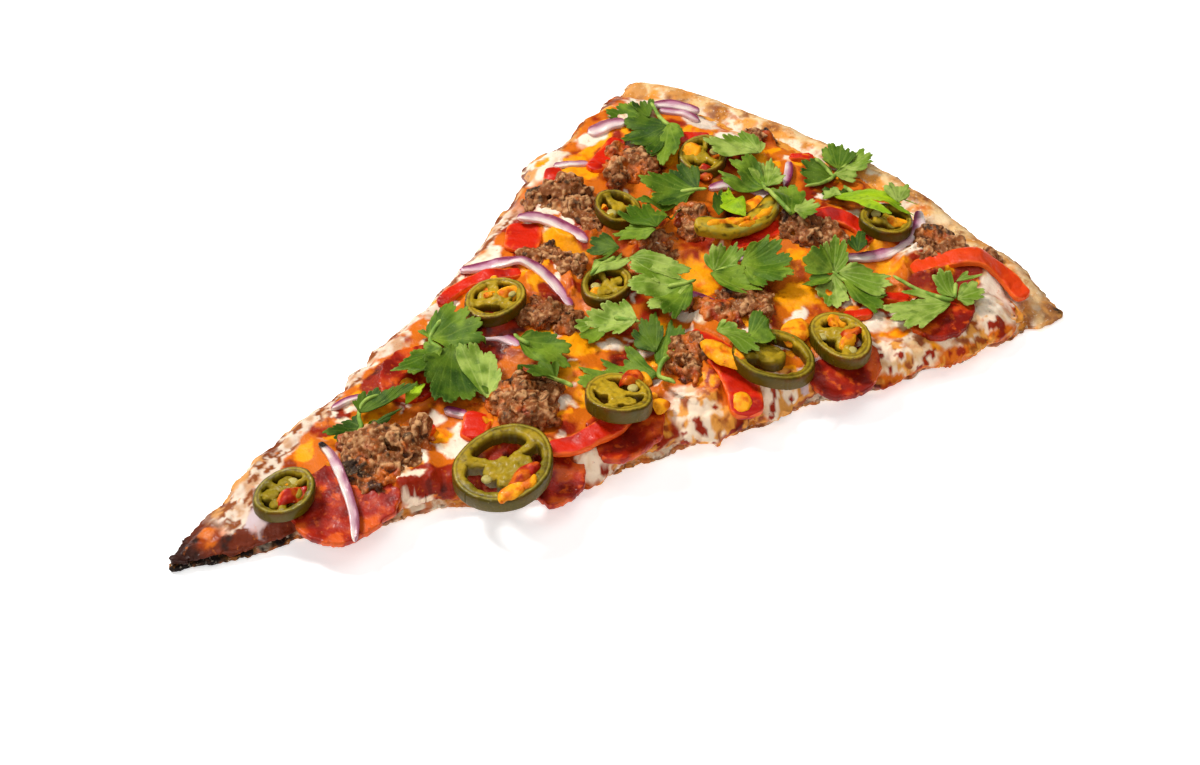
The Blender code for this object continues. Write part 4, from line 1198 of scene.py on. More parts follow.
class Melt(Enum):
    """What a patch of the bed is: its screen colour, its darker shade and its polish."""

    MOZZARELLA = ((242, 224, 202), (226, 190, 144), 0.55)
    CHEDDAR = ((248, 158, 6), (222, 106, 4), 0.75)
    OIL = ((208, 104, 14), (146, 52, 6), 0.8)
    SAUCE = ((146, 34, 6), (76, 16, 4), 0.8)
    FILM = ((224, 204, 184), (196, 150, 112), 0.30)
    LILAC = ((206, 186, 190), (158, 128, 132), 0.5)
    BURNT = ((106, 38, 10), (34, 14, 6), 0.6)


@dataclass(frozen=True)
class Patch:
    """A patch of the cheese bed: what it is, its middle, its size along and across, the degrees of its
    long way from +X, and how thick it lies over the bed.
    """

    melt: Melt
    x: float
    y: float
    length: float
    width: float
    turn: float = 0.0
    lift: float = 0.3


MOZZARELLA, CHEDDAR, OIL, TOMATO, FILM, LILAC, BURNT = Melt


@dataclass
class CheeseBed:
    """The sheet of melted white and orange cheese, with sauce and oil between its patches."""

    layers: Layers
    pitch: float = 0.50
    wander: float = 0.42
    climb: float = 4.4
    lap_reach: float = 5.0
    thinnest: float = 0.55
    drip: float = 1.1
    levels: int = 8
    freckle = tone(172, 88, 34)
    char = tone(50, 18, 8)
    filler_seed: int = 5
    filler_count: int = 620
    low: Place = (-4.0, -76.0)
    high: Place = (200.0, 64.0)
    # Patches in the order in which they are laid, as Patch takes them.
    PATCHES = (
        # The tip.
        (BURNT, 9, -4, 30, 18, -8, 0.2), (OIL, 9, -2.5, 9, 4, -8, 0.2), (LILAC, 17.5, -7.5, 6, 8, 10, 0.5),
        (LILAC, 14.5, -2, 7, 4), (BURNT, 23, -13, 14, 5, -20, 0.2), (OIL, 34.5, 0, 13, 13, 20, 0.2),
        (MOZZARELLA, 63, -7.5, 8, 5, 30, 0.4), (CHEDDAR, 35, 2, 7, 4, 30), (BURNT, 29, -5, 9, 9, 0, 0.2),
        (TOMATO, 39, -23, 9, 6, -20, 0.4), (MOZZARELLA, 55, -15, 18, 13, 15, 0.9),
        (CHEDDAR, 49.5, -16.5, 4, 5, 0, 0.4), (CHEDDAR, 59.5, -11.5, 6, 7, 30, 0.4),
        (OIL, 54.5, -18, 3.5, 9, -20, 0.2), (MOZZARELLA, 46, -23.5, 7, 5, 0, 0.4), (TOMATO, 52, -25, 6, 5),
        (TOMATO, 50.5, -21.5, 15, 6.5, -19, 0.1), (OIL, 54, -19.5, 5, 2.5, -19, 0.1),
        (MOZZARELLA, 46.5, -18.5, 9, 1.8, -25, 0.2), (TOMATO, 61, 10.5, 13, 6, 18, 0.2),
        (CHEDDAR, 66.5, 4.4, 6, 3, 0, 0.4), (CHEDDAR, 52, 1, 14, 6, 20, 0.2), (OIL, 68, -6, 10, 10, 0, 0.1),
        # The left cut and the middle.
        (FILM, 68.5, 16.5, 11, 5, 15), (FILM, 83, 19.5, 8, 4, 15), (MOZZARELLA, 101, 25.5, 9, 6, 20, 0.5),
        (CHEDDAR, 104, 8.5, 6, 15, -8), (CHEDDAR, 117, 16.5, 5, 14, 15, 0.5), (MOZZARELLA, 121, 27, 6, 5, 0, 0.4),
        (CHEDDAR, 99, -10, 12, 7, -10, 0.6), (MOZZARELLA, 105, -13.5, 6, 4, -20, 0.5),
        (CHEDDAR, 91.5, -15, 6, 6, 0, 0.4), (OIL, 86, -6, 12, 9, 0, 0.1), (TOMATO, 85, 5, 16, 10, 0, 0.1),
        (CHEDDAR, 93, -22, 12, 7, 30), (TOMATO, 73, -38.5, 11, 8, 30), (MOZZARELLA, 79, -39.5, 7, 8, 30, 0.6),
        (FILM, 90, -44.5, 20, 5, -8, 0.2), (MOZZARELLA, 104.5, -42, 10, 17, -10, 1), (TOMATO, 103, -22, 9, 12, 0, 0.2),
        (CHEDDAR, 114, -19, 9, 9), (MOZZARELLA, 123, -19, 4, 10, 10, 0.4), (MOZZARELLA, 121, -49, 9, 12, 0, 0.9),
        (TOMATO, 61.5, -31.5, 18, 16, 0, 0), (TOMATO, 103.5, 4, 6, 8, 0, 0.1), (MOZZARELLA, 142, -34, 6, 3, 30, 0.2),
        (CHEDDAR, 131, -13, 8, 6), (CHEDDAR, 128, 29, 9, 6, 20, 0.4), (TOMATO, 112, -52, 8, 5, -20, 0.2),
        # The far side.
        (MOZZARELLA, 131, 41.5, 16, 7, 12, 0.8), (MOZZARELLA, 133.4, 44.8, 12, 9, 15, 0.6),
        (CHEDDAR, 131.5, 42.5, 4, 2, 40, 0.2), (CHEDDAR, 141, 39, 18, 5, 15, 0.5), (CHEDDAR, 134, 34, 12, 5, 15, 0.5),
        (TOMATO, 128, 30, 8, 8, 0, 0.1), (MOZZARELLA, 147, 43, 9, 5, 15, 0.5), (CHEDDAR, 168, 27, 9, 9, 0, 0.7),
        (FILM, 172, 31, 9, 10, 0, 0.2), (TOMATO, 150, 27, 12, 10, 0, 0.1), (CHEDDAR, 157, 24, 9, 6, -30, 0.4),
        (MOZZARELLA, 160, 42, 12, 6, 0, 0.4),
        # The right part.
        (CHEDDAR, 146, -28.5, 11, 8, 10, 0.8), (CHEDDAR, 134, -8, 10, 10), (LILAC, 132, -51, 10, 8, 0, 0.5),
        (TOMATO, 136, -57, 15, 7, -5, 0.5), (MOZZARELLA, 152, -45.5, 7, 11, 0, 0.7),
        (MOZZARELLA, 158, -54, 16, 13, -15, 0.9), (MOZZARELLA, 172, -58, 20, 12, -12, 0.8),
        (CHEDDAR, 154, -52, 7, 4, -20), (OIL, 168, -60.5, 7, 3, 10, 0.1), (CHEDDAR, 169, -36, 9, 5, 0, 0.6),
        (CHEDDAR, 167, -30, 7, 3, 0, 0.4), (MOZZARELLA, 179, -34.5, 19, 5, 8, 0.5),
        (MOZZARELLA, 184, -55, 9, 11, 0, 0.4), (MOZZARELLA, 146, -55, 10, 8, -10, 0.7), (CHEDDAR, 160, -60, 9, 3, -15),
        (MOZZARELLA, 152, -59, 10, 6, -15, 0.6), (MOZZARELLA, 165, -61, 12, 6, -15, 0.6),
        (TOMATO, 152, -3, 14, 12, 0, 0.1), (CHEDDAR, 172, 12, 8, 8, 0, 0.4), (OIL, 180, -12, 8, 14, 0, 0.1),
        (MOZZARELLA, 172, 22, 8, 7, 0, 0.4), (MOZZARELLA, 176, -18, 8, 6, 0, 0.4),
        (MOZZARELLA, 168, 47, 12, 7, 0, 0.4), (CHEDDAR, 154, -31, 9, 6, 0, 0.5), (MOZZARELLA, 167, -3, 8, 7),
    )

    def fillers(self) -> list[Patch]:
        """Small seeded patches of every kind over the whole bed, laid first.

        Returns:
            The patches, without sauce beside the near cut.
        """
        rng = np.random.default_rng(self.filler_seed)
        kinds = (CHEDDAR, OIL, TOMATO, MOZZARELLA, MOZZARELLA, CHEDDAR, MOZZARELLA, CHEDDAR)
        along = rng.uniform(14, 186, self.filler_count)
        across = rng.uniform(-0.40, 0.36, self.filler_count) * along
        size = rng.uniform(1.3, 4.6, (self.filler_count, 2))
        kind = rng.integers(0, len(kinds), self.filler_count)
        spin = rng.uniform(0, 180, self.filler_count)
        return [
            Patch(kinds[k], x, y, a, b, s, 0.25) for k, x, y, (a, b), s in zip(kind, along, across, size, spin)
            if kinds[k] is not TOMATO or y > -0.29 * x
        ]

    def build(self) -> bpy.types.Object:
        """Lays the patches over the solid's relief and draws the bed up to the toppings.

        A patch covers where its oval radius, shaken by noise, is under 1, and is domed by 1 - radius^2.

        Returns:
            The bed.
        """
        own, layers = Relief.of(["melted_cheese"]), self.layers
        edge = own.edge(6.0)
        heights = own.grown(4.5)
        drawn = self.drawn_up()

        def inside(plan: Array) -> Array:
            """Distance in from the solid's outline, in soft lobes."""
            return bitten(np.maximum(edge.at(plan), self.lobe(plan)) + 0.25, plan) + 0.45 * noise(plan, 4.0, 2, 41)

        sheet = Sheet.cut(inside, self.low, self.high, self.pitch)
        plan = sheet.plan
        depth = edge.at(plan)
        smooth = np.where(depth > 1.5, layers.cheese.at(plan), heights.at(plan))
        smooth = smooth + (heights.at(plan) - smooth) * (1 - ease(depth, 0.8, 2.4))
        behind = layers.cheese.at(plan + 2.0 * square_to(RIGHT_CORNER)) - 0.4
        lap = (cut_reach(plan, RIGHT_CORNER) < self.lap_reach) & (depth < 3.0)
        most = smooth + (0.7 + 6.0 * ease(plan[:, 0], 62, 76))
        raised = np.minimum.reduce([behind, layers.undersides.at(plan, 99.0) - 0.2, most])
        smooth = np.where(lap, np.maximum(smooth, raised), smooth)
        spread = self.unrolled(plan, smooth)
        tint, gloss, lift = self.blend(spread)
        lumps = 0.34 * noise(plan, 4.6, 2, 43) + 0.07 * noise(plan, 1.3, 2, 44)
        rugged = 0.26 * noise(plan, 1.9, 2, 45) * (0.45 + 0.55 * ease(lift, 0.2, 0.7))
        rugged = rugged + 0.5 * np.abs(noise(plan, 2.6, 2, 47)) * (1 - ease(plan[:, 0], 26, 36))
        brim = bitten(np.maximum(depth, self.lobe(plan)), plan)
        top = smooth + (lift * 0.75 + lumps + rugged) * ease(brim, 0.3, 2.5)
        top = np.maximum(top, drawn.at(plan))
        roll = (0.8 + 0.35 * noise(plan, 3.0, 2, 46)) * (1 - ease(brim, -0.2, 1.9))
        top = top - roll
        bottom = np.minimum(top - self.thinnest, np.minimum(layers.crust.at(plan) + 0.9, heights.at(plan) - 0.3))
        bottom = np.maximum(bottom - lap * self.drip * np.maximum(noise(plan, 3.2, 2, 48), 0), 0.6)
        ring, away = sheet.outward()
        rings = []
        for share in np.linspace(0.06, 0.95, self.levels):
            knobs = 0.45 * lap[ring] * noise(np.column_stack([plan[ring], np.full(len(ring), 4.0 * share)]), 2.2, 2, 49)
            rings.append((0.36 * math.sin(math.pi * share) ** 0.5 + np.maximum(knobs, -0.1), share))
        form = sheet.solid(bottom, top, rings, fan=True)
        rows = self.levels + 1
        drop = np.tile(top[ring], rows) - form.points[len(plan) : -1, 2]
        side = self.blend(np.tile(spread[ring], (rows, 1)) + np.tile(away, (rows, 1)) * drop[:, None])
        tint = np.vstack([tint, side[0], tint[:1]])
        gloss = np.concatenate([gloss, side[1], gloss[:1]])
        return form.paint(tint, gloss).place("cheese_bed", CHEESE, "cheese", "melted_cheese")

    @staticmethod
    def lobe(plan: Array) -> Array:
        """Distance in from the round lobe that hangs over the far cut."""
        return LOBE[2] - np.hypot(*(plan - LOBE[:2]).T)

    def unrolled(self, plan: Array, height: Array) -> Array:
        """Plan points moved out, over the near cut, by how far the bed has sunk there.

        Patches then keep their size where the bed laps down over the cut.

        Args:
            plan: Rows of plan points.
            height: The bed's height at the points.

        Returns:
            The moved points.
        """
        inward = square_to(RIGHT_CORNER)
        sunk = np.clip(self.layers.cheese.at(plan + 3.0 * inward) - height, 0, 4)
        return plan - inward * (sunk * (cut_reach(plan, RIGHT_CORNER) < self.lap_reach))[:, None]

    def drawn_up(self) -> Relief:
        """Heights to which the bed climbs under the toppings, falling off beside them.

        Returns:
            The heights, or 0 where it doesn't climb.
        """
        cheese, undersides = self.layers.cheese, self.layers.undersides
        gap = undersides.height + 0.3 - cheese.height
        held = undersides.known & (gap < self.climb) & cheese.known
        rise = np.where(held, np.clip(gap, 0, self.climb), 0.0)
        under = rise - 0.25
        for _ in range(9):
            for axis in (0, 1):
                for shift in (1, -1):
                    rise = np.maximum(rise, np.roll(rise, shift, axis) * 0.78)
        rise = np.maximum(Relief(rise, cheese.known).smoothed(1.1).height, under)
        return Relief(np.where(rise > 0.02, cheese.height + rise, 0.0), cheese.known)

    def blend(self, plan: Array) -> tuple[Array, Array, Array]:
        """Colour, polish and thickness of the patches over plan points.

        Args:
            plan: Rows of plan points.

        Returns:
            Tint, gloss and lift, a row each.
        """
        coarse = np.column_stack([noise(plan, 4.5, 3, 51), noise(plan, 4.5, 3, 52)])
        fine, toast = noise(plan, 1.5, 2, 53), tone(198, 92, 16)
        base = ease(noise(plan, 5.0, 3, 54), -0.05, 0.7)
        tint = mix(tone(*OIL.value[0]), tone(*TOMATO.value[0]), base)
        gloss = np.full(len(plan), 0.85)
        lift = np.zeros(len(plan))
        for patch in [*self.fillers(), *(Patch(*row) for row in self.PATCHES)]:
            reach = 0.8 * max(patch.length, patch.width) + 3.0
            near = np.nonzero((np.abs(plan - (patch.x, patch.y)) < reach).all(axis=1))[0]
            if not len(near):
                continue
            local = turn(plan[near] - (patch.x, patch.y) + 0.9 * coarse[near], -patch.turn)
            radius = np.hypot(*(local / (0.5 * patch.length, 0.5 * patch.width)).T)
            radius += 1.1 * fine[near] / max(patch.length, patch.width) + self.wander * 0.5 * coarse[near, 0]
            cover = 1 - ease(radius, 0.88, 1.08)
            light, dark, polish = patch.melt.value
            shade = ease(coarse[near, 1] + 0.6 * fine[near] + 0.4 * radius, 0.25, 1.25)
            tint[near] = mix(tint[near], mix(tone(*light), tone(*dark), shade), cover)
            if patch.melt in (MOZZARELLA, CHEDDAR, LILAC):
                rind = np.exp(-(((radius - 0.95 + 0.2 * fine[near]) / 0.14) ** 2))
                tint[near] = mix(tint[near], toast, rind * ease(coarse[near, 0], -0.5, 0.5) * 0.6)
            gloss[near] += (polish - gloss[near]) * cover
            lift[near] += (patch.lift * np.sqrt(np.clip(1 - radius**2, 0, 1)) - lift[near]) * cover
        return *self.scorch(plan, coarse, fine, tint, gloss), lift

    def scorch(self, plan: Array, coarse: Array, fine: Array, tint: Array, gloss: Array) -> tuple[Array, Array]:
        """Lays a drier film along the left cut, singes that edge, paints warm shade over the near lap, blotches the lap
        and chars the tip.

        Args:
            plan: Rows of plan points.
            coarse: Two broad noises over them.
            fine: A fine noise over them.
            tint: Their colours so far.
            gloss: Their polish so far.

        Returns:
            The new tint and gloss.
        """
        x, left, over = plan[:, 0], cut_reach(plan, LEFT_CORNER), cut_reach(plan, RIGHT_CORNER)
        wide = 4.3 + 2.4 * (1 - ease(x, 24, 34))
        band = 1 - ease(left + 1.2 * coarse[:, 0] + 0.5 * fine - wide, 0, 0.6)
        band = band * ease(x, 9, 13) * (1 - ease(x, 112, 122))
        tint = mix(tint, mix(tone(*FILM.value[0]), tone(*FILM.value[1]), ease(fine, -0.3, 0.8)), band)
        streak = noise(np.column_stack([plan @ unit(np.array(LEFT_CORNER)) / 2.2, left]), 1.2, 3, 55)
        tint = mix(tint, self.freckle * 0.6, band * ease(streak, 0.24, 0.32))
        edge = (1 - ease(left + 1.2 * coarse[:, 1], 0.6, 1.6)) * (1 - ease(self.lobe(plan), 0.0, 0.9))
        singed = mix(tone(118, 54, 18), tone(206, 144, 78), ease(coarse[:, 0] + 0.5 * fine, 0.0, 0.4))
        tint = mix(tint, singed, edge * ease(x, 8, 14) * ease(fine, -0.8, -0.3))
        # Painted shade: a warmer, slightly darker tint over the near lap, which faces away from the key lamp.
        tint = tint * (1 - (1 - ease(over, -1.5, 1.5))[:, None] * (0.0, 0.07, 0.14))
        lap = (1 - ease(over + 1.6 * coarse[:, 1] + 0.8, -0.4, 1.2)) * ease(x, 56, 64)
        blotch = noise(plan, 2.4, 2, 56)
        baked = mix(tone(226, 150, 56), tone(146, 62, 16), ease(fine + 0.5 * coarse[:, 0], -0.2, 0.4))
        tint = mix(tint, baked, lap * ease(blotch, 0.12, 0.26) * 0.95)
        tint = mix(tint, tone(*TOMATO.value[0]), lap * ease(-over, 0.5, 2.0) * ease(-blotch, 0.68, 0.74))
        rim = 1 - ease(rim_reach(plan) + 1.3 * coarse[:, 0], 9.6, 12.0)
        tint = mix(tint, self.freckle, rim * ease(fine, -0.2, 0.6) * 0.5)
        tip = 1 - ease(x + 2.5 * coarse[:, 1], 3.0, 8.0)
        return mix(tint, self.char, tip), gloss + (0.25 - gloss) * band


# ---------------------------------------------------------------- toppings


@dataclass
class CuredMeat:
    """Thin greasy slices, red with paler fat."""

    pitch: float = 0.42
    margin: float = 1.5
    red = tone(160, 30, 5)
    dark = tone(120, 16, 3)
    orange = tone(222, 92, 16)
    SLICES = ("tip", "near_left", "near_middle", "far", "near_right", "corner")

    def build(self) -> None:
        """Makes each slice a thin wavy disc over its solid's heights."""
        for name in self.SLICES:
            node = f"cured_slice_{name}"
            own = Relief.of([node])
            edge = own.edge(4.0)
            bearing = Bearing.node(node, 1.2)
            spans = [(kept.min(), kept.max()) for kept in np.nonzero(own.known)[::-1]]
            low, high = np.transpose(spans) * Relief.PITCH + Relief.LOW + [[-self.margin], [self.margin]]
            sheet = Sheet.cut(lambda plan: edge.at(plan) + 0.2 + 0.3 * noise(plan, 3.5, 2, 61), low, high, self.pitch)
            plan = sheet.plan
            depth = edge.at(plan)
            lumps = 0.22 * noise(plan, 5.0, 2, 62) + 0.05 * noise(plan, 1.4, 2, 63)
            top = bearing.at(plan, 1.0) + (lumps - 0.1) * ease(depth, 0.2, 1.6)
            form = sheet.solid(bearing.at(plan, 0.0) - 0.25, top, [(0.12, 0.2), (0.2, 0.55), (0.1, 0.88)])
            blotch = noise(form.points, 3.6, 3, 64)
            tint = mix(mix(self.red, self.dark, ease(-blotch, 0.0, 0.7)), self.orange, ease(blotch, -0.05, 0.65) * 0.8)
            form.paint(tint, 0.7).place(f"cured_meat_slice_{name}", CURED, "cured", node)


@dataclass(frozen=True)
class Strip:
    """A strip of vegetable: its CAD node (none for a small one on the bed), its width, its middle line
    in plan, and its shade from 0 for the kind's lighter look to 1 for its darker.
    """

    node: str
    width: float
    line: Array
    # Onions: their own colour, how lilac and purple. Peppers: below 0.4 it paints the strip lighter, standing in for
    # light on its upper face.
    shade: float = 0.4


def swept_strip(
    strip: Strip, bearing: Bearing, taper: float, squareness: float, curl: float, sides: int = 28, pitch: float = 0.42
) -> tuple[Form, Array]:
    """A strip's surface: a rounded box section carried along its line, between its bearing's heights.

    At angle a the section lies at (sign cos a |cos a|^q) of the half width and (1 + sign sin a |sin a|^q) / 2
    of the height, and the width falls by the taper times the fourth power of the way to an end.

    Args:
        strip: The strip.
        bearing: Its two heights.
        taper: Width at the ends as a share of the width.
        squareness: The power q; less is squarer.
        curl: How far the long edges rise, in millimetres.
        sides: Points round the section.
        pitch: The distance between sections.

    Returns:
        The form, and the place across it (-1 to 1) at each point.
    """
    line = smooth_line(strip.line, pitch)
    along = unit(np.gradient(line, axis=0))
    side = np.column_stack([-along[:, 1], along[:, 0]])
    travel = np.concatenate([[0], np.cumsum(np.linalg.norm(np.diff(line, axis=0), axis=1))])
    way = np.linspace(-1, 1, len(line))
    to_end = np.minimum(travel, travel[-1] - travel)
    close = np.sqrt(np.clip(1 - (1 - np.clip(to_end / 1.1, 0, 1)) ** 2, 0.02, 1))
    ripple = 1 + 0.07 * noise(np.column_stack([travel, 0 * travel + strip.width * 5]), 4.0, 2, 71)
    half = 0.5 * strip.width * (1 - (1 - taper) * way**4) * close * ripple
    angle = np.linspace(0, 2 * math.pi, sides, endpoint=False)
    across = np.sign(np.cos(angle)) * np.abs(np.cos(angle)) ** squareness
    share = 0.5 + 0.5 * np.sign(np.sin(angle)) * np.abs(np.sin(angle)) ** squareness
    plan = line[:, None] + side[:, None] * (half[:, None] * across)[..., None]
    share = 0.5 + (share - 0.5)[None] * np.sqrt(close)[:, None]
    flat = plan.reshape(-1, 2)
    height = bearing.at(flat, share.ravel()).reshape(share.shape) + curl * across[None] ** 2
    height += 0.14 * noise(flat, 2.6, 2, 72).reshape(share.shape)
    form = capped(np.dstack([plan, height]))
    across = np.append(np.broadcast_to(across, share.shape).ravel(), [0, 0])
    aside = half[:, None] * across[:-2].reshape(share.shape)
    lie = np.column_stack([np.repeat(travel, sides), aside.ravel(), share.ravel()])
    form.lie = np.vstack([lie, lie[:1], lie[-1:]])
    return form, across


@dataclass
class Strips:
    """Strips of one vegetable: the named ones between their solids' faces, and small ones on the bed.

    Attributes:
        layers: The slice's reliefs.
        slot: The vegetable's name, in the name of the piece of small ones.
        finish: What it is made of.
        taper: Width at the ends as a share of the width.
        squareness: The section's power; less is squarer.
        curl: How far the long edges rise, in millimetres.
        thick: Thickness of the small ones.
    """

    layers: Layers
    slot: str
    finish: Finish
    taper: float
    squareness: float
    curl: float
    thick: float
    STRIPS = SMALL = ()

    def build(self) -> None:
        """Makes each strip, and the small ones as one more piece."""
        for strip in self.STRIPS:
            form = self.cut(strip, Bearing.node(strip.node))
            form.place(f"red_{strip.node}", self.finish, self.slot, strip.node)
        small = [self.cut(strip, Bearing.on(self.layers.bed, 0.3, self.thick)) for strip in self.SMALL]
        Form.joined(small).place(f"red_{self.slot}_bits", self.finish, self.slot)

    def cut(self, strip: Strip, bearing: Bearing) -> Form:
        """One dressed strip between two heights."""
        return self.dress(strip, *swept_strip(strip, bearing, self.taper, self.squareness, self.curl))

    def dress(self, strip: Strip, form: Form, across: Array) -> Form:
        """Colours a strip by the place across it; each vegetable has its own way."""
        raise NotImplementedError


@dataclass
class Peppers(Strips):
    """Roasted red pepper: glossy red skin, paler orange cut flesh at the edges."""

    slot: str = "pepper"
    finish: Finish = PEPPER
    taper: float = 0.8
    squareness: float = 0.42
    curl: float = 0.1
    thick: float = 2.1
    red = tone(206, 34, 4)
    deep = tone(156, 14, 2)
    orange = tone(240, 104, 24)
    STRIPS = (
        Strip("pepper_strip_near_jalapeno", 4.6, trace(725, -320, 45, -30, 50, -10, 50, -5, 55, 15)),
        Strip("pepper_strip_near_cut", 7.5, trace(1180, -235, 15, -65, -15, -75, -20, -65, -40, -65)),
        Strip("pepper_strip_far_left", 3.2, trace(835, 195, 60, 10, 65, -15, 70, -45)),
        Strip("pepper_chunk_far", 8, trace(1075, 210, 35, 30, 35, 40)),
        Strip("pepper_strip_corner", 4.8, trace(1695, -400, 45, -15, 50, -35, 40, -45, 25, -55, -5, -65), 0),
        Strip("pepper_strip_middle", 4.2, trace(1440, -100, 90, 0, 90, -15, 70, -40, 30, -60, -15, -60)),
        Strip("pepper_strip_far_right", 4.6, trace(1375, 315, 60, 25, 70, 30)),
    )
    SMALL = (
        Strip("", 6, trace(635, -182, 60, 52)), Strip("", 3.6, trace(555, -105, 43, 19)),
        Strip("", 3.4, trace(1605, 290, 65, -60)), Strip("", 3, trace(1775, 70, 53, -34)),
        Strip("", 3.2, trace(1490, -405, 50, -45)), Strip("", 3, trace(1600, -420, 50, -38)),
        Strip("", 4, trace(1265, 330, 45, 45)),
    )

    def dress(self, strip: Strip, form: Form, across: Array) -> Form:
        """Wrinkles a strip and gives it its skin and flesh colours, with painted light on a strip of low shade.

        Args:
            strip: The strip.
            form: Its surface.
            across: The place across it at each point.

        Returns:
            The painted form.
        """
        creases = 1 - ease(np.abs(noise(form.points, 3.2, 1, 78)), 0.0, 0.25)
        wrinkles = 0.22 * noise(form.points, 3.6, 2, 77) - 0.22 * creases
        form.push(wrinkles * (1 - ease(np.abs(across), 0.9, 1.0)))
        flesh = ease(np.abs(across) + 0.12 * noise(form.points, 2.0, 2, 75), 0.80, 1.0)
        tint = mix(self.red, self.deep, ease(noise(form.points, 4.0, 3, 76), 0.0, 0.8))
        # Painted light: a strip of shade under 0.4, the corner one, is lightened towards orange for light on its upper
        # face.
        tint = mix(tint, self.orange * (0.9, 0.5, 0.5), 0.6 * ease(np.full(len(tint), 0.4 - strip.shade), 0.0, 0.4))
        return form.paint(mix(tint, self.orange, flesh * 0.75), 0.75 - 0.3 * flesh)


@dataclass
class Onions(Strips):
    """Red onion slivers: translucent white with a purple outer edge."""

    slot: str = "onion"
    finish: Finish = ONION
    taper: float = 0.5
    squareness: float = 0.6
    curl: float = 0.25
    thick: float = 1.5
    white = tone(232, 216, 206)
    lilac = tone(206, 170, 178)
    rose = tone(176, 96, 136)
    purple = tone(122, 22, 68)
    burnt = tone(30, 16, 10)
    STRIPS = (
        Strip("onion_strip_tip", 2.1, trace(385, 15, -5, -45, -15, -45, -20, -60, -30, -70, -35, -50), 0.1),
        Strip("onion_strip_far_short", 3.4, trace(1130, 286, 40, -24, 24, -39, 10, -44, 4, -49), 0.5),
        Strip("onion_strip_far_long", 2.9, trace(935, 249, 37, -23, 42, -28, 32, -34, 18, -43, 4, -46, -12, -73), 0.6),
        Strip("onion_ring_middle", 3, trace(1550, 102, 41, -13, 29, -24, 14, -33, -2, -32, -11, -33), 0.4),
        Strip("onion_strip_middle", 3.8, trace(1270, -125, 10, -40, 18, -50), 0.7),
        Strip("onion_strip_near_rim", 3.2, trace(1615, -280, 75, -38, 78, -1, 65, 21, 43, 40), 0.5),
        Strip("onion_strip_corner_left", 2.8, trace(1650, 430, 40, -25, 25, -35, 13, -35), 0.5),
    )
    SMALL = (
        Strip("", 1.6, trace(465, 85, 45, -3, 40, -14), 0.5),
        Strip("", 2.6, trace(840, 56, 31, -26, 12, -27, 4, -29), 0.6), Strip("", 2.2, trace(646, -70, 26, -50), 0.8),
        Strip("", 2.4, trace(1660, 405, 35, -40, 15, -50), 0.5),
        Strip("", 2, trace(1765, 60, -35, -35, -35, -25), 0.7),
        Strip("", 3.2, trace(1376, -418, -10, -38, -18, -42, -10, -28), 0.35),
        Strip("", 2, trace(1665, -530, 55, -35), 0.9), Strip("", 2.2, trace(888, -285, -58, -60), 0.1),
        Strip("", 2.4, trace(1430, -110, 40, -25), 0.6), Strip("", 1.8, trace(820, -382, 40, 6, 40, 24), 0.2),
        Strip("", 2.6, trace(1318, 386, 80, -34), 0.3), Strip("", 3.4, trace(1470, 445, 60, -20, 25, -20), 0.2),
    )

    def dress(self, strip: Strip, form: Form, across: Array) -> Form:
        """Colours a sliver white inside and purple along its outer edge, and burns the end of a pale one.

        Args:
            strip: The sliver.
            form: Its surface.
            across: The place across it at each point.

        Returns:
            The painted form.
        """
        outer = across + 0.2 * noise(form.points, 3.0, 2, 81)
        tint = mix(self.white, self.lilac, ease(noise(form.points, 4.0, 2, 82) + 1.2 * strip.shade, 0.2, 1.2))
        tint = mix(tint, self.rose, ease(outer, -0.45, 0.15) * (0.5 + 0.5 * strip.shade))
        tint = mix(tint, self.purple, ease(outer, 0.25, 0.5) * (0.7 + 0.3 * strip.shade))
        if strip.shade < 0.15:
            away = np.linalg.norm(form.points[:, :2] - strip.line[0], axis=1)
            tint = mix(tint, self.burnt, 1 - ease(away + noise(form.points, 1.5, 2, 83), 1.5, 3.6))
        return form.paint(tint, 0.65)


@dataclass(frozen=True)
class Lump:
    """A lump of browned beef: its CAD node (none for a small one), how far it stands over the cheese,
    how much of it orange fat covers, and its outline in plan.
    """

    node: str
    height: float
    glaze: float
    outline: Array

    def reach(self, plan: Array) -> Array:
        """Distance in from the outline: the least distance to its edges, negative outside.

        A point is inside where a line from it towards +X crosses the outline an odd number of times.

        Args:
            plan: Rows of plan points.

        Returns:
            One distance for each row.
        """
        a, b = self.outline, np.roll(self.outline, -1, axis=0)
        away, edge = plan[:, None] - a, b - a
        share = np.clip((away * edge).sum(axis=2) / (edge**2).sum(axis=1), 0, 1)
        near = np.linalg.norm(away - share[..., None] * edge, axis=2).min(axis=1)
        x, y = plan[:, :1], plan[:, 1:]
        spans = (a[:, 1] > y) != (b[:, 1] > y)
        crossing = a[:, 0] + (y - a[:, 1]) * edge[:, 0] / np.where(edge[:, 1] == 0, 1, edge[:, 1])
        inside = (spans & (x < crossing)).sum(axis=1) % 2 == 1
        return np.where(inside, near, -near)


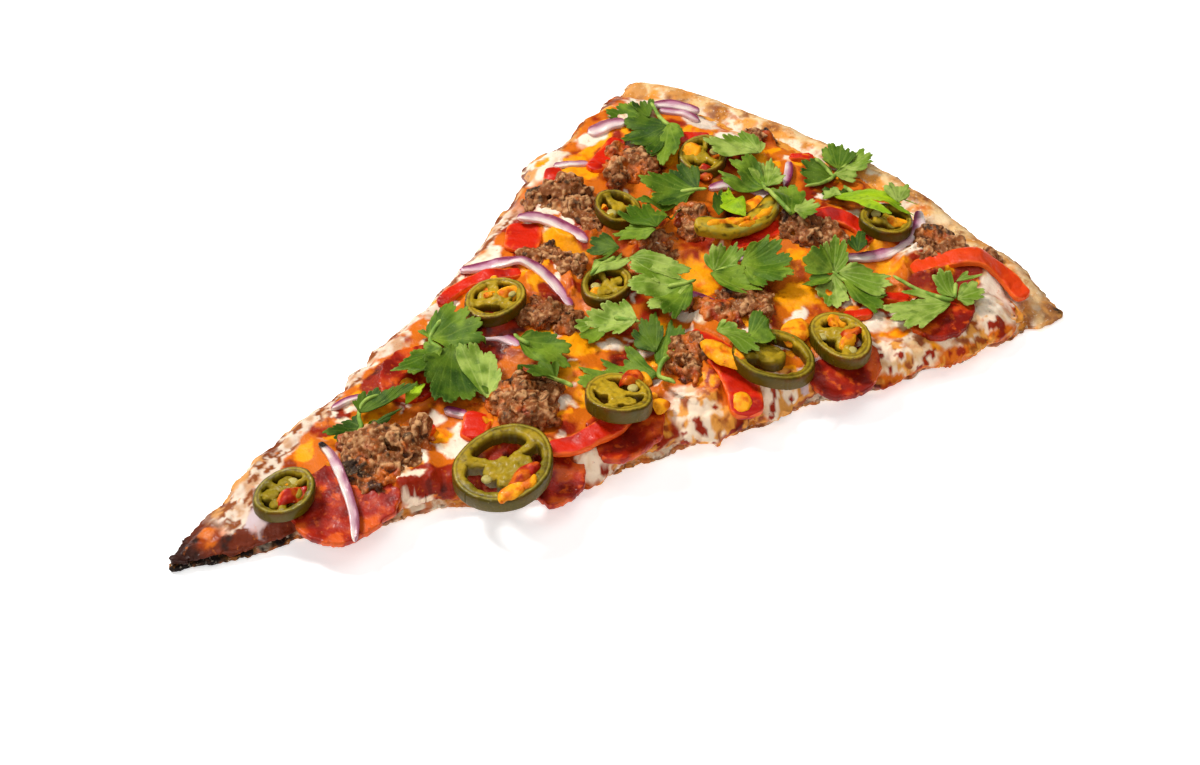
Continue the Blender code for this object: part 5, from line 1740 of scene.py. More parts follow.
@dataclass
class Beef:
    """Browned minced beef: ragged lumps of grains, glazed with orange fat and charred in places."""

    layers: Layers
    voxel: float = 0.29
    shoulder: float = 2.6
    seed: int = 90
    brown = tone(126, 68, 24)
    pale = tone(200, 148, 98)
    dark = tone(50, 20, 4)
    fat = tone(204, 96, 10)
    glow = tone(164, 36, 4)
    char = tone(24, 14, 6)
    # Large, middling and small grains: (square millimetres for each, least and greatest size, least and
    # greatest depth as shares of the size).
    GRAINS = ((12, 1.9, 2.7, 0.95, 1.3), (4, 0.95, 1.6, 0.8, 1.25), (1 / 1.3, 0.45, 0.9, 0.45, 1.3))
    # Charred places: (x, y, radius).
    CHARRED = (
        (38, -11, 3.4), (39, -17, 2.4), (188, -37.5, 2.6), (183.5, -33, 2.2), (114.8, 17.5, 2), (101.5, 7, 1.8),
        (121.5, 34.5, 2.2), (134.5, -19.5, 2.4), (160.5, -9.5, 2.2), (118.8, -29, 1.3), (78, -11.5, 1.6),
        (180, 17, 1.6),
    )
    LUMPS = (
        Lump("beef_tip", 5.2, 0.5, trace(412, -21, 22, 12, 27, -8, 30, -9, 22, -12, 23, -11, 9, -23, 33, -20, -5, -26,
            -21, -20, -27, -22, -26, -8, -36, 1, -26, -15, -29, -5, -28, 10, -12, 32, -6, 41, 17, 37, 20, 20)),
        Lump("beef_lower_left", 5.4, 0.6, trace(753, -106, 28, 8, 27, -7, 30, -10, 23, -27, 22, -27, -6, -26, -21, -13,
            -36, -24, -22, -40, -32, 1, -4, 34, -31, 2, -18, 24, -12, 25, 18, 30, 5, 27)),
        Lump("beef_centre_left", 4.8, 0.4, trace(941, 83, 35, -13, 23, 7, 22, 3, 4, -30, -4, -22, 24, -20, 13, -32, -7,
            -19, -25, -20, -29, -8, -20, 24, -22, 35, -22, 35, -5, 29)),
        Lump("beef_centre", 4, 0.25, trace(1069, 207, 37, 4, 35, -12, 23, -10, -17, -21, 4, -30, 23, -37, -24, -32,
            -33, -15, -19, 12, -2, 40, -10, 43, -22, 27)),
        Lump("beef_far_middle", 4.4, 0.1, trace(1197, 352, 26, -4, 32, -8, 34, -14, 24, -25, 13, -39, -20, -38, -30,
            -29, -10, -46, -18, -29, -12, 28, -8, 33, -13, 56, -17, 32, -18, 33)),
        Lump("beef_far_right", 4.6, 0.6, trace(1447, 356, 37, 8, 19, -36, 27, -41, -6, -43, -36, -27, -42, 8, -36, 2,
            -37, 13, 9, 39)),
        Lump("beef_small_centre", 4.4, 0.75, trace(1276, 59, 30, 11, 40, -3, 23, -15, 9, -34, -17, -30, -24, -24, -28,
            6, -18, 33, -12, 28)),
        Lump("beef_centre_right", 4.8, 0.8, trace(1444, 97, 21, -4, 17, -23, 2, -25, -26, -23, -21, -36, -28, -12, -16,
            23, 3, 24, 12, 34)),
        Lump("beef_lower_middle", 4.8, 0.35, trace(1322, -177, 18, 1, 16, -26, 15, -26, 24, -19, 4, -29, -19, -26, -28,
            -18, -33, 3, -6, 38, -11, 34)),
        Lump("beef_lower_middle", 3.4, 0.95, trace(1245, -158, 25, -4, 20, -17, 23, -28, -4, -30, -1, -41, -3, -30,
            -28, 15, -14, 37, -15, 29, -12, 26)),
        Lump("beef_near_cut", 5.4, 0.55, trace(1109, -247, 31, 23, 32, -3, 22, -14, 2, -30, -10, -32, -22, -30, -35,
            -27, -33, -11, -9, 15, 6, 27, -19, 16, 3, 37)),
        Lump("beef_near_rim", 5.4, 0.3, trace(1600, -79, 26, 1, -3, -29, 23, -15, 20, -26, 14, -25, 5, -31, -19, -29,
            -31, 0, -25, 26, -27, 18, -11, 27, -12, 27, 8, 29)),
        Lump("beef_rim", 5.2, 0.35, trace(1781, -329, 31, 19, 27, -5, 12, -20, 27, 1, 11, -14, -6, -31, 1, -28, -28,
            -21, -33, -16, -26, -4, -26, 22, -21, 26, -14, 21, 9, 27)),
        Lump("", 3.4, 0.2, trace(1849, -451, 29, 2, 29, -2, 5, -27, -14, -23, -27, -3, -21, 22)),
        Lump("", 2.8, 0.3, trace(1762, 214, 25, -1, 24, -16, 10, -28, -19, -17, -30, 10, -17, 23)),
    )

    def build(self) -> None:
        """Fills each lump with grains, welds them, paints shade into their hollows and highlight on their crests."""
        cells = Relief.plan()
        for node in dict.fromkeys(lump.node for lump in self.LUMPS):
            forms = []
            for number, lump in enumerate(self.LUMPS):
                if lump.node == node:
                    low, high = np.min(lump.outline, axis=0) - 1.5, np.max(lump.outline, axis=0) + 1.5
                    plan = cells[((cells > low) & (cells < high)).all(axis=1)]
                    depth = lump.reach(plan) + 0.45 * noise(plan, 2.6, 2, self.seed)
                    forms.append(self.crumble(lump, plan[depth > 0], depth[depth > 0], self.seed + number))
            name = node.replace("beef", "browned_beef") or "browned_beef_bits"
            Form.joined(forms).place(name, BEEF, "beef", *([node] if node else []))

    def crumble(self, lump: Lump, plan: Array, depth: Array, seed: int) -> Form:
        """One lump: large, middling and small grains under a ragged dome, welded and roughened.

        The dome stands at sqrt(1 - (1 - depth / shoulder)^2) of the lump's height, give or take noise.

        Args:
            lump: The lump.
            plan: Plan points that it covers.
            depth: How far in from its outline each lies.
            seed: Which grains.

        Returns:
            The painted form.
        """
        rng = np.random.default_rng(seed)
        ground = self.layers.bed.at(plan)
        dome = np.sqrt(1 - (1 - np.clip(depth / self.shoulder, 0, 1)) ** 2)
        high = ground + lump.height * dome * (0.80 + 0.34 * noise(plan, 5.0, 2, seed + 7)) + 0.3
        drawn = []
        for plot, small, large, up, down in self.GRAINS:
            count = int(len(plan) * Relief.PITCH**2 / plot) + 3
            places = rng.integers(0, len(plan), count)
            drawn.append((places, rng.uniform(small, large, count), rng.uniform(up, down, count)))
        pick, size, sink = (np.concatenate(values) for values in zip(*drawn))
        size = np.minimum(size, depth[pick] * 0.9 + 0.6)
        height = np.maximum(high[pick] - size * sink, ground[pick] + 0.1 * size)
        centre = np.column_stack([plan[pick] + rng.normal(0, 0.22, (len(pick), 2)), height])
        ball, ball_faces = ico_ball(3)
        stretch = rng.uniform(0.75, 1.3, (len(centre), 1, 3))
        shape = (ball[None] * 1.7 + centre[:, None]).reshape(-1, 3)
        shaken = 1 + 0.34 * noise(shape, 1.3, 1, seed).reshape(len(centre), -1, 1)
        points = centre[:, None] + ball[None] * stretch * shaken * size[:, None, None]
        faces = ball_faces[None] + (np.arange(len(centre)) * len(ball))[:, None, None]
        form = welded(Form(points.reshape(-1, 3), faces.reshape(-1, 3)), self.voxel)
        form.points = form.spread(form.points, 1)
        p = form.points
        crumbs = 0.24 * noise(p, 1.1, 2, seed + 1) + 0.18 * (0.45 - np.abs(noise(p, 1.7, 1, seed + 3)))
        cleft = 1 - ease(np.abs(noise(p, 3.4, 2, seed + 2)), 0.0, 0.14)
        return self.dress(form.push(crumbs - 0.5 * cleft), lump)

    def dress(self, form: Form, lump: Lump) -> Form:
        """Colours a lump: pale grains with painted highlight on crests, painted shade in clefts and along its foot, fat
        low down, char in places.

        Args:
            form: The lump's surface.
            lump: The lump.

        Returns:
            The painted form.
        """
        p = form.points
        hollow = form.hollows(10)
        rise = (p[:, 2] - self.layers.bed.at(p)) / lump.height
        grains, broad = noise(p, 1.1, 2, 91), noise(p, 4.0, 3, 92)
        # Paler by grain noise, and paler on crests and higher up: painted highlight.
        tint = mix(self.brown, self.pale, ease(0.7 * grains - 1.6 * hollow + 0.25 * rise, 0.15, 0.95))
        fat = ease(broad + 1.5 * lump.glaze - 0.9 * rise + 0.15 * grains, 0.1, 0.9)
        tint = mix(tint, mix(self.fat, self.glow, ease(noise(p, 3.0, 2, 95), 0.0, 0.8)), fat * 0.8)
        # Painted shade: darker in the clefts and hollows.
        tint = mix(tint, self.dark, ease(hollow, 0.04, 0.40) * 0.85)
        # Painted shade: darker along the foot, where the lump meets the cheese.
        tint = mix(tint, self.dark, (1 - ease(rise, 0.0, 0.35)) * 0.6)
        tint = mix(tint, self.char, ease(noise(p, 2.0, 3, 94) - 0.8 * hollow, 0.62, 0.9) * 0.8)
        for away in spots(p, self.CHARRED):
            tint = mix(tint, self.char, 0.9 * (1 - ease(away + 0.5 * noise(p, 1.2, 2, 93), 0.5, 1.0)))
        return form.paint(tint, 0.3 + 0.6 * fat)


def ico_ball(levels: int) -> tuple[Array, Array]:
    """Points and triangles of a unit ball made from an icosahedron.

    Args:
        levels: 1 for 20 faces, 2 for 80.

    Returns:
        Points and triangles.
    """
    work = bmesh.new()
    bmesh.ops.create_icosphere(work, subdivisions=levels, radius=1.0)
    points = np.array([tuple(v.co) for v in work.verts])
    faces = np.array([[v.index for v in f.verts] for f in work.faces])
    work.free()
    return points, faces


def welded(form: Form, voxel: float) -> Form:
    """Overlapping closed forms turned into one skin by a voxel remesh.

    Args:
        form: The overlapping forms, unpainted.
        voxel: The remesh's cell in millimetres.

    Returns:
        The outer skin.
    """
    mesh = bpy.data.meshes.new("welding")
    mesh.from_pydata((form.points * MM).tolist(), [], form.faces.tolist())
    piece = bpy.data.objects.new("welding", mesh)
    bpy.context.scene.collection.objects.link(piece)
    remesh = piece.modifiers.new("weld", "REMESH")
    remesh.mode, remesh.voxel_size, remesh.adaptivity = "VOXEL", voxel * MM, 0.0
    made = bpy.data.meshes.new_from_object(piece.evaluated_get(bpy.context.evaluated_depsgraph_get()))
    place = np.empty(len(made.vertices) * 3, np.float32)
    made.vertices.foreach_get("co", place)
    made.calc_loop_triangles()
    corner = np.empty(len(made.loop_triangles) * 3, np.int32)
    made.loop_triangles.foreach_get("vertices", corner)
    bpy.data.objects.remove(piece, do_unlink=True)
    for spent in (mesh, made):
        bpy.data.meshes.remove(spent)
    return Form(place.reshape(-1, 3).astype(float) / MM, corner.reshape(-1, 3).astype(int)).outward()


@dataclass(frozen=True)
class Ring:
    """A cross cut of a jalapeno. Angles are degrees in its own frame, sizes are shares of its radius.

    Attributes:
        node: Its CAD node.
        x: Middle.
        y: Middle.
        length: Size along its long way.
        width: Size across it.
        thickness: Its height.
        turn: Degrees of the long way.
        wall: Where the flesh wall starts.
        lumps: The core's lumps: (angle, distance out, size).
        ribs: The ribs from the core to the wall: (angle, half width).
        seeds: Where seeds lie: (angle, distance out).
        warm: 0 for green, 1 for yellow-brown.
    """

    node: str
    x: float
    y: float
    length: float
    width: float
    thickness: float
    turn: float
    wall: float
    lumps: tuple[tuple[float, float, float], ...]
    ribs: tuple[tuple[float, float], ...]
    seeds: tuple[tuple[float, float], ...] = ()
    warm: float = 0.3

    def local(self, plan: Array) -> Array:
        """Plan points as shares of the ring's radius, in its own frame."""
        return turn(plan - (self.x, self.y), -self.turn) / (self.length / 2, self.width / 2)

    def plan(self, degrees: float, share: float) -> Array:
        """The plan point at an angle and a distance out.

        Args:
            degrees: The angle.
            share: The distance, as a share of the radius.

        Returns:
            The point.
        """
        a = math.radians(degrees)
        spot = np.array([math.cos(a) * self.length / 2, math.sin(a) * self.width / 2]) * share
        return turn(spot[None], self.turn)[0] + (self.x, self.y)


@dataclass
class Jalapenos:
    """Pickled jalapeno: a dark glossy skin, an olive flesh ring, ribs to a blobby core, pale seeds."""

    pitch: float = 0.27
    lowest: float = 0.4
    pip: Place = (1.15, 1.15, 0.55)
    pip_sink: float = 0.75
    skin = tone(72, 60, 4)
    brown = tone(98, 58, 4)
    wall = tone(84, 72, 2)
    line = tone(170, 156, 62)
    flesh = tone(114, 100, 12)
    yellow = tone(184, 150, 30)
    deep = tone(70, 48, 4)
    heart = tone(146, 124, 26)
    seed = tone(196, 180, 104)
    RINGS = (
        Ring("jalapeno_tip", 24, -7, 13, 12.4, 2.8, 0, 0.76,
            ((137, 0.45, 0.28), (50, 0.4, 0.26), (-63, 0.36, 0.25), (200, 0.5, 0.2)),
            ((100, 0.1), (-5, 0.08), (-130, 0.12)), ((20, 0.45),), 0.15),
        Ring("jalapeno_large", 61.5, -31.5, 21.5, 20, 3.4, 15, 0.76,
            ((-105, 0.18, 0.3), (-62, 0.34, 0.24), (165, 0.2, 0.24), (-135, 0.42, 0.18)),
            ((-12, 0.09), (112, 0.11), (-125, 0.14)), ((172, 0.47),), 0.25),
        Ring("jalapeno_near_middle", 90.5, -33.5, 16, 14, 4, 60, 0.74,
            ((43, 0.45, 0.36), (160, 0.25, 0.28), (-150, 0.45, 0.22)), ((43, 0.3), (150, 0.16), (-90, 0.12)),
            ((-62, 0.55),), 0.9),
        Ring("jalapeno_far_left", 91.5, 9.5, 14, 12.6, 3, 0, 0.74,
            ((0, 0.05, 0.34), (110, 0.35, 0.28), (-40, 0.3, 0.24)), ((150, 0.18), (60, 0.16), (-80, 0.14)),
            ((-20, 0.55),), 0.8),
        Ring("jalapeno_centre", 114.5, -1, 12, 10.6, 2.8, 10, 0.74,
            ((-110, 0.25, 0.32), (-30, 0.4, 0.24), (200, 0.45, 0.22)), ((-90, 0.16), (60, 0.1), (180, 0.12)),
            ((146, 0.42),), 0.55),
        Ring("jalapeno_near_ring", 125.5, -43.5, 18, 16.4, 3.4, -20, 0.78, ((130, 0.1, 0.36), (120, 0.38, 0.24)),
            ((125, 0.17), (170, 0.08)), (), 0.45),
        Ring("jalapeno_near_oval", 141, -48, 17, 11, 3.2, 80, 0.72,
            ((20, 0.15, 0.3), (146, 0.35, 0.24), (47, 0.4, 0.22)), ((150, 0.14), (40, 0.16), (-75, 0.09)),
            ((60, 0.6), (170, 0.6)), 0.7),
        Ring("jalapeno_near_rim", 176, -26.5, 12.6, 11.6, 2.8, 0, 0.74,
            ((0, 0.05, 0.3), (150, 0.3, 0.22), (-80, 0.32, 0.24)), ((-70, 0.14), (160, 0.1), (50, 0.1)), ((100, 0.5),),
            0.6),
        Ring("jalapeno_far_right", 160.5, 18.5, 12.4, 11, 2.8, 20, 0.74, ((180, 0.15, 0.32), (60, 0.3, 0.22)),
            ((140, 0.16), (20, 0.1), (-100, 0.12)), ((-40, 0.5),), 0.6),
        Ring("jalapeno_far_small", 131, 14.5, 11, 10, 2.8, 0, 0.74, ((0, 0.05, 0.3), (90, 0.3, 0.22)),
            ((90, 0.14), (-30, 0.1), (-150, 0.12)), ((200, 0.5),), 0.7),
    )
    EDGE = Strip("jalapeno_edge", 5.6, trace(1390, -25, 60, -35, 60, -12, 60, 7, 55, 30))

    def build(self) -> None:
        """Makes every ring from its flesh and seeds, and the slice that stands on edge."""
        for number, ring in enumerate(self.RINGS):
            top = facing(node_triangles(ring.node), Side.TOP).reshape(-1, 3)
            flat = np.linalg.lstsq(np.column_stack([top[:, :2], np.ones(len(top))]), top[:, 2], rcond=None)[0]
            forms = [self.slab(ring, number, flat), *self.pips(ring, flat)]
            Form.joined(forms).place(f"pickled_{ring.node}", JALAPENO, "jalapeno", ring.node)
        form, across = swept_strip(self.EDGE, Bearing.node(self.EDGE.node), taper=0.6, squareness=0.5, curl=-0.3)
        streak = noise(form.lie * (0.25, 1.0, 1.0), 0.7, 2, 106)
        cut = mix(self.yellow, mix(self.line, self.deep, ease(streak, -0.1, 0.5)), ease(np.abs(streak), 0.25, 0.7))
        skin = mix(self.skin, self.brown, ease(noise(form.points, 3.0, 2, 109), -0.4, 0.6))
        tint = mix(cut, skin, ease(np.abs(across + 0.2), 0.75, 1.0))
        form.paint(tint, 0.6).place("pickled_jalapeno_edge", JALAPENO, "jalapeno", self.EDGE.node)

    def edges(self, ring: Ring, number: int, plan: Array) -> tuple[Array, Array]:
        """How far plan points lie in from the skin, and out from the wall's inner side.

        Args:
            ring: The ring.
            number: Its place in the list.
            plan: Plan points.

        Returns:
            Both distances in millimetres.
        """
        local = ring.local(plan)
        out = np.hypot(*local.T)
        circle = local / np.maximum(out, 1e-6)[:, None]
        angle = np.arctan2(*local.T[::-1])
        scale = 0.25 * (ring.length + ring.width)
        outer = 1 + 0.025 * np.sin(3 * angle + number) + 0.012 * noise(circle * 3, 1.0, 2, number)
        inner = ring.wall + 0.03 * noise(circle * 4, 1.0, 2, 40 + number)
        return (outer - out) * scale, (out - inner) * scale

    def flesh_depth(self, ring: Ring, number: int, plan: Array) -> Array:
        """Distance in from the edge of the flesh: wall, core lumps and ribs joined softly.

        A lump is its size less the distance to its middle. A rib is its half width, wider towards the
        wall, less the distance to its line. The joint is the softened greater of them, under the outside.

        Args:
            ring: The ring.
            number: Its place in the list.
            plan: Plan points.

        Returns:
            Distances in millimetres, positive in the flesh.
        """
        local = ring.local(plan)
        scale = 0.25 * (ring.length + ring.width)
        within, wall = self.edges(ring, number, plan)
        total = wall
        parts = [
            size - np.hypot(*(local - share * np.array([math.cos(math.radians(a)), math.sin(math.radians(a))])).T)
            for a, share, size in ring.lumps
        ]
        for degrees, half in ring.ribs:
            away = turn(local, -degrees)
            wide = half * (0.85 + 0.8 * np.clip(away[:, 0], 0, 1) ** 3)
            parts.append(np.minimum(wide - np.abs(away[:, 1]), away[:, 0] + 0.2))
        for part in parts:
            part = part * scale
            soft = np.clip(0.5 + 0.5 * (part - total) / 0.7, 0, 1)
            total = total + (part - total) * soft + 0.35 * soft * (1 - soft)
        return np.minimum(total + 0.14 * noise(plan, 1.3, 2, 65 + number), within)

    def slab(self, ring: Ring, number: int, flat: Array) -> Form:
        """The flesh as a cut sheet, with rounded edges, a groove inside the skin and a lower, lumpy core.

        Args:
            ring: The ring.
            number: Its place in the list.
            flat: The upper face's plane: slopes along x and y, and height.

        Returns:
            The painted form.
        """
        reach = 0.55 * max(ring.length, ring.width) + 0.5
        middle = np.array([ring.x, ring.y])
        sheet = Sheet.cut(lambda plan: self.flesh_depth(ring, number, plan), middle - reach, middle + reach, self.pitch)
        plan = sheet.plan
        depth, (within, wall) = self.flesh_depth(ring, number, plan), self.edges(ring, number, plan)
        face = plan @ flat[:2] + flat[2]
        top = face - 0.30 * np.exp(-((depth / 0.28) ** 2)) - 0.10 * np.exp(-(((within - 0.85) / 0.16) ** 2))
        core = ease(-wall, 0.0, 1.0) * (0.35 - 0.30 * noise(plan, 2.4, 2, 67) - 0.14 * noise(plan, 0.9, 1, 68))
        top = top + 0.07 * noise(plan, 1.4, 2, 66) - core
        bottom = np.maximum(face - ring.thickness, self.lowest)
        top = np.maximum(top, bottom + 0.3)
        form = sheet.solid(bottom, top, [(0.03, 0.05), (0.10, 0.3), (0.12, 0.6), (0.08, 0.9)])
        within, wall = self.edges(ring, number, form.points[:, :2])
        below = form.points[:, :2] @ flat[:2] + flat[2] - form.points[:, 2]
        blotch, fine = noise(form.points, 3.6, 3, 107), noise(form.points, 0.9, 2, 108)
        warm = np.clip(ring.warm + 0.5 * blotch, 0, 1)
        tint = mix(self.flesh, self.yellow, warm)
        tint = mix(tint, self.deep, ease(-fine - 0.2 * blotch, 0.2, 0.9) * 0.6)
        tint = mix(tint, mix(self.heart, self.yellow, warm), ease(-wall, 0.0, 0.6) * 0.7)
        tint = mix(tint, self.line, ease(fine, 0.45, 0.9) * 0.35)
        tint = mix(tint, self.line, np.exp(-(((within - 0.62) / 0.16) ** 2)) * 0.55)
        tint = mix(tint, self.deep, np.exp(-(((within - 0.95) / 0.2) ** 2)) * 0.6)
        skin = mix(self.skin, self.brown, np.clip(ease(blotch, -0.6, 0.5) * (0.5 + ring.warm), 0, 1))
        tint = mix(tint, skin, 1 - ease(within, 0.18, 0.42))
        tint = mix(tint, self.wall, (1 - ease(within, 0.1, 0.4)) * ease(below + 0.4 * fine, 0.4, 1.2) * 0.7)
        # Painted shade: darker where the flesh lies below the top face, on the inner walls round the holes and low
        # parts of the core.
        tint = mix(tint, self.deep * 0.7, ease(below, 0.5, 1.4) * ease(within, 0.4, 0.8) * 0.8)
        return form.paint(tint, np.where(within < 0.4, 0.7, 0.6))

    def pips(self, ring: Ring, flat: Array) -> list[Form]:
        """Flat round seeds that lie in the cells.

        Args:
            ring: The ring.
            flat: The upper face's plane.

        Returns:
            The painted seeds.
        """
        ball, faces = ico_ball(3)
        forms = []
        for degrees, share in ring.seeds:
            spot = ring.plan(degrees, share)
            height = spot @ flat[:2] + flat[2] - self.pip_sink
            points = ball * self.pip + np.append(spot, height)
            forms.append(Form(points, faces).paint(self.seed * 0.85, 0.8))
        return forms


# ---------------------------------------------------------------- cilantro


class Tone(Enum):
    """The greens of the leaflets, as screen colours: blade, its sheen and its veins."""

    # Deep, mid and light are partly the leaves' own greens and partly painted light: the deeper and lighter greens also
    # stand in for how each leaflet faces the light.
    DEEP = ((42, 72, 2), (80, 106, 18), (114, 136, 40))
    MID = ((68, 100, 4), (112, 138, 30), (146, 166, 62))
    LIGHT = ((102, 132, 26), (156, 176, 80), (188, 200, 116))
    YELLOW = ((126, 164, 4), (158, 188, 16), (186, 206, 64))


@dataclass(frozen=True)
class Leaflet:
    """One fan-shaped leaflet: where its veins meet, the tips of its lobes in order round its edge, its
    green, and how far its sides rise above its middle (negative hangs).
    """

    foot: Array
    tips: Array
    tone: Tone
    fold: float


def leaf(tone_name: Tone, fold: float, *tenths: int) -> Leaflet:
    """A leaflet traced from its foot through its tips."""
    return Leaflet(trace(*tenths)[0], trace(*tenths)[1:], tone_name, fold)


@dataclass(frozen=True)
class Sprig:
    """The leaflets, and the stalks as lines in plan, that one CAD node stands for."""

    node: str
    leaflets: tuple[Leaflet, ...]
    stalks: tuple[Array, ...] = ()


DEEP, MID, LIGHT, YELLOW = Tone


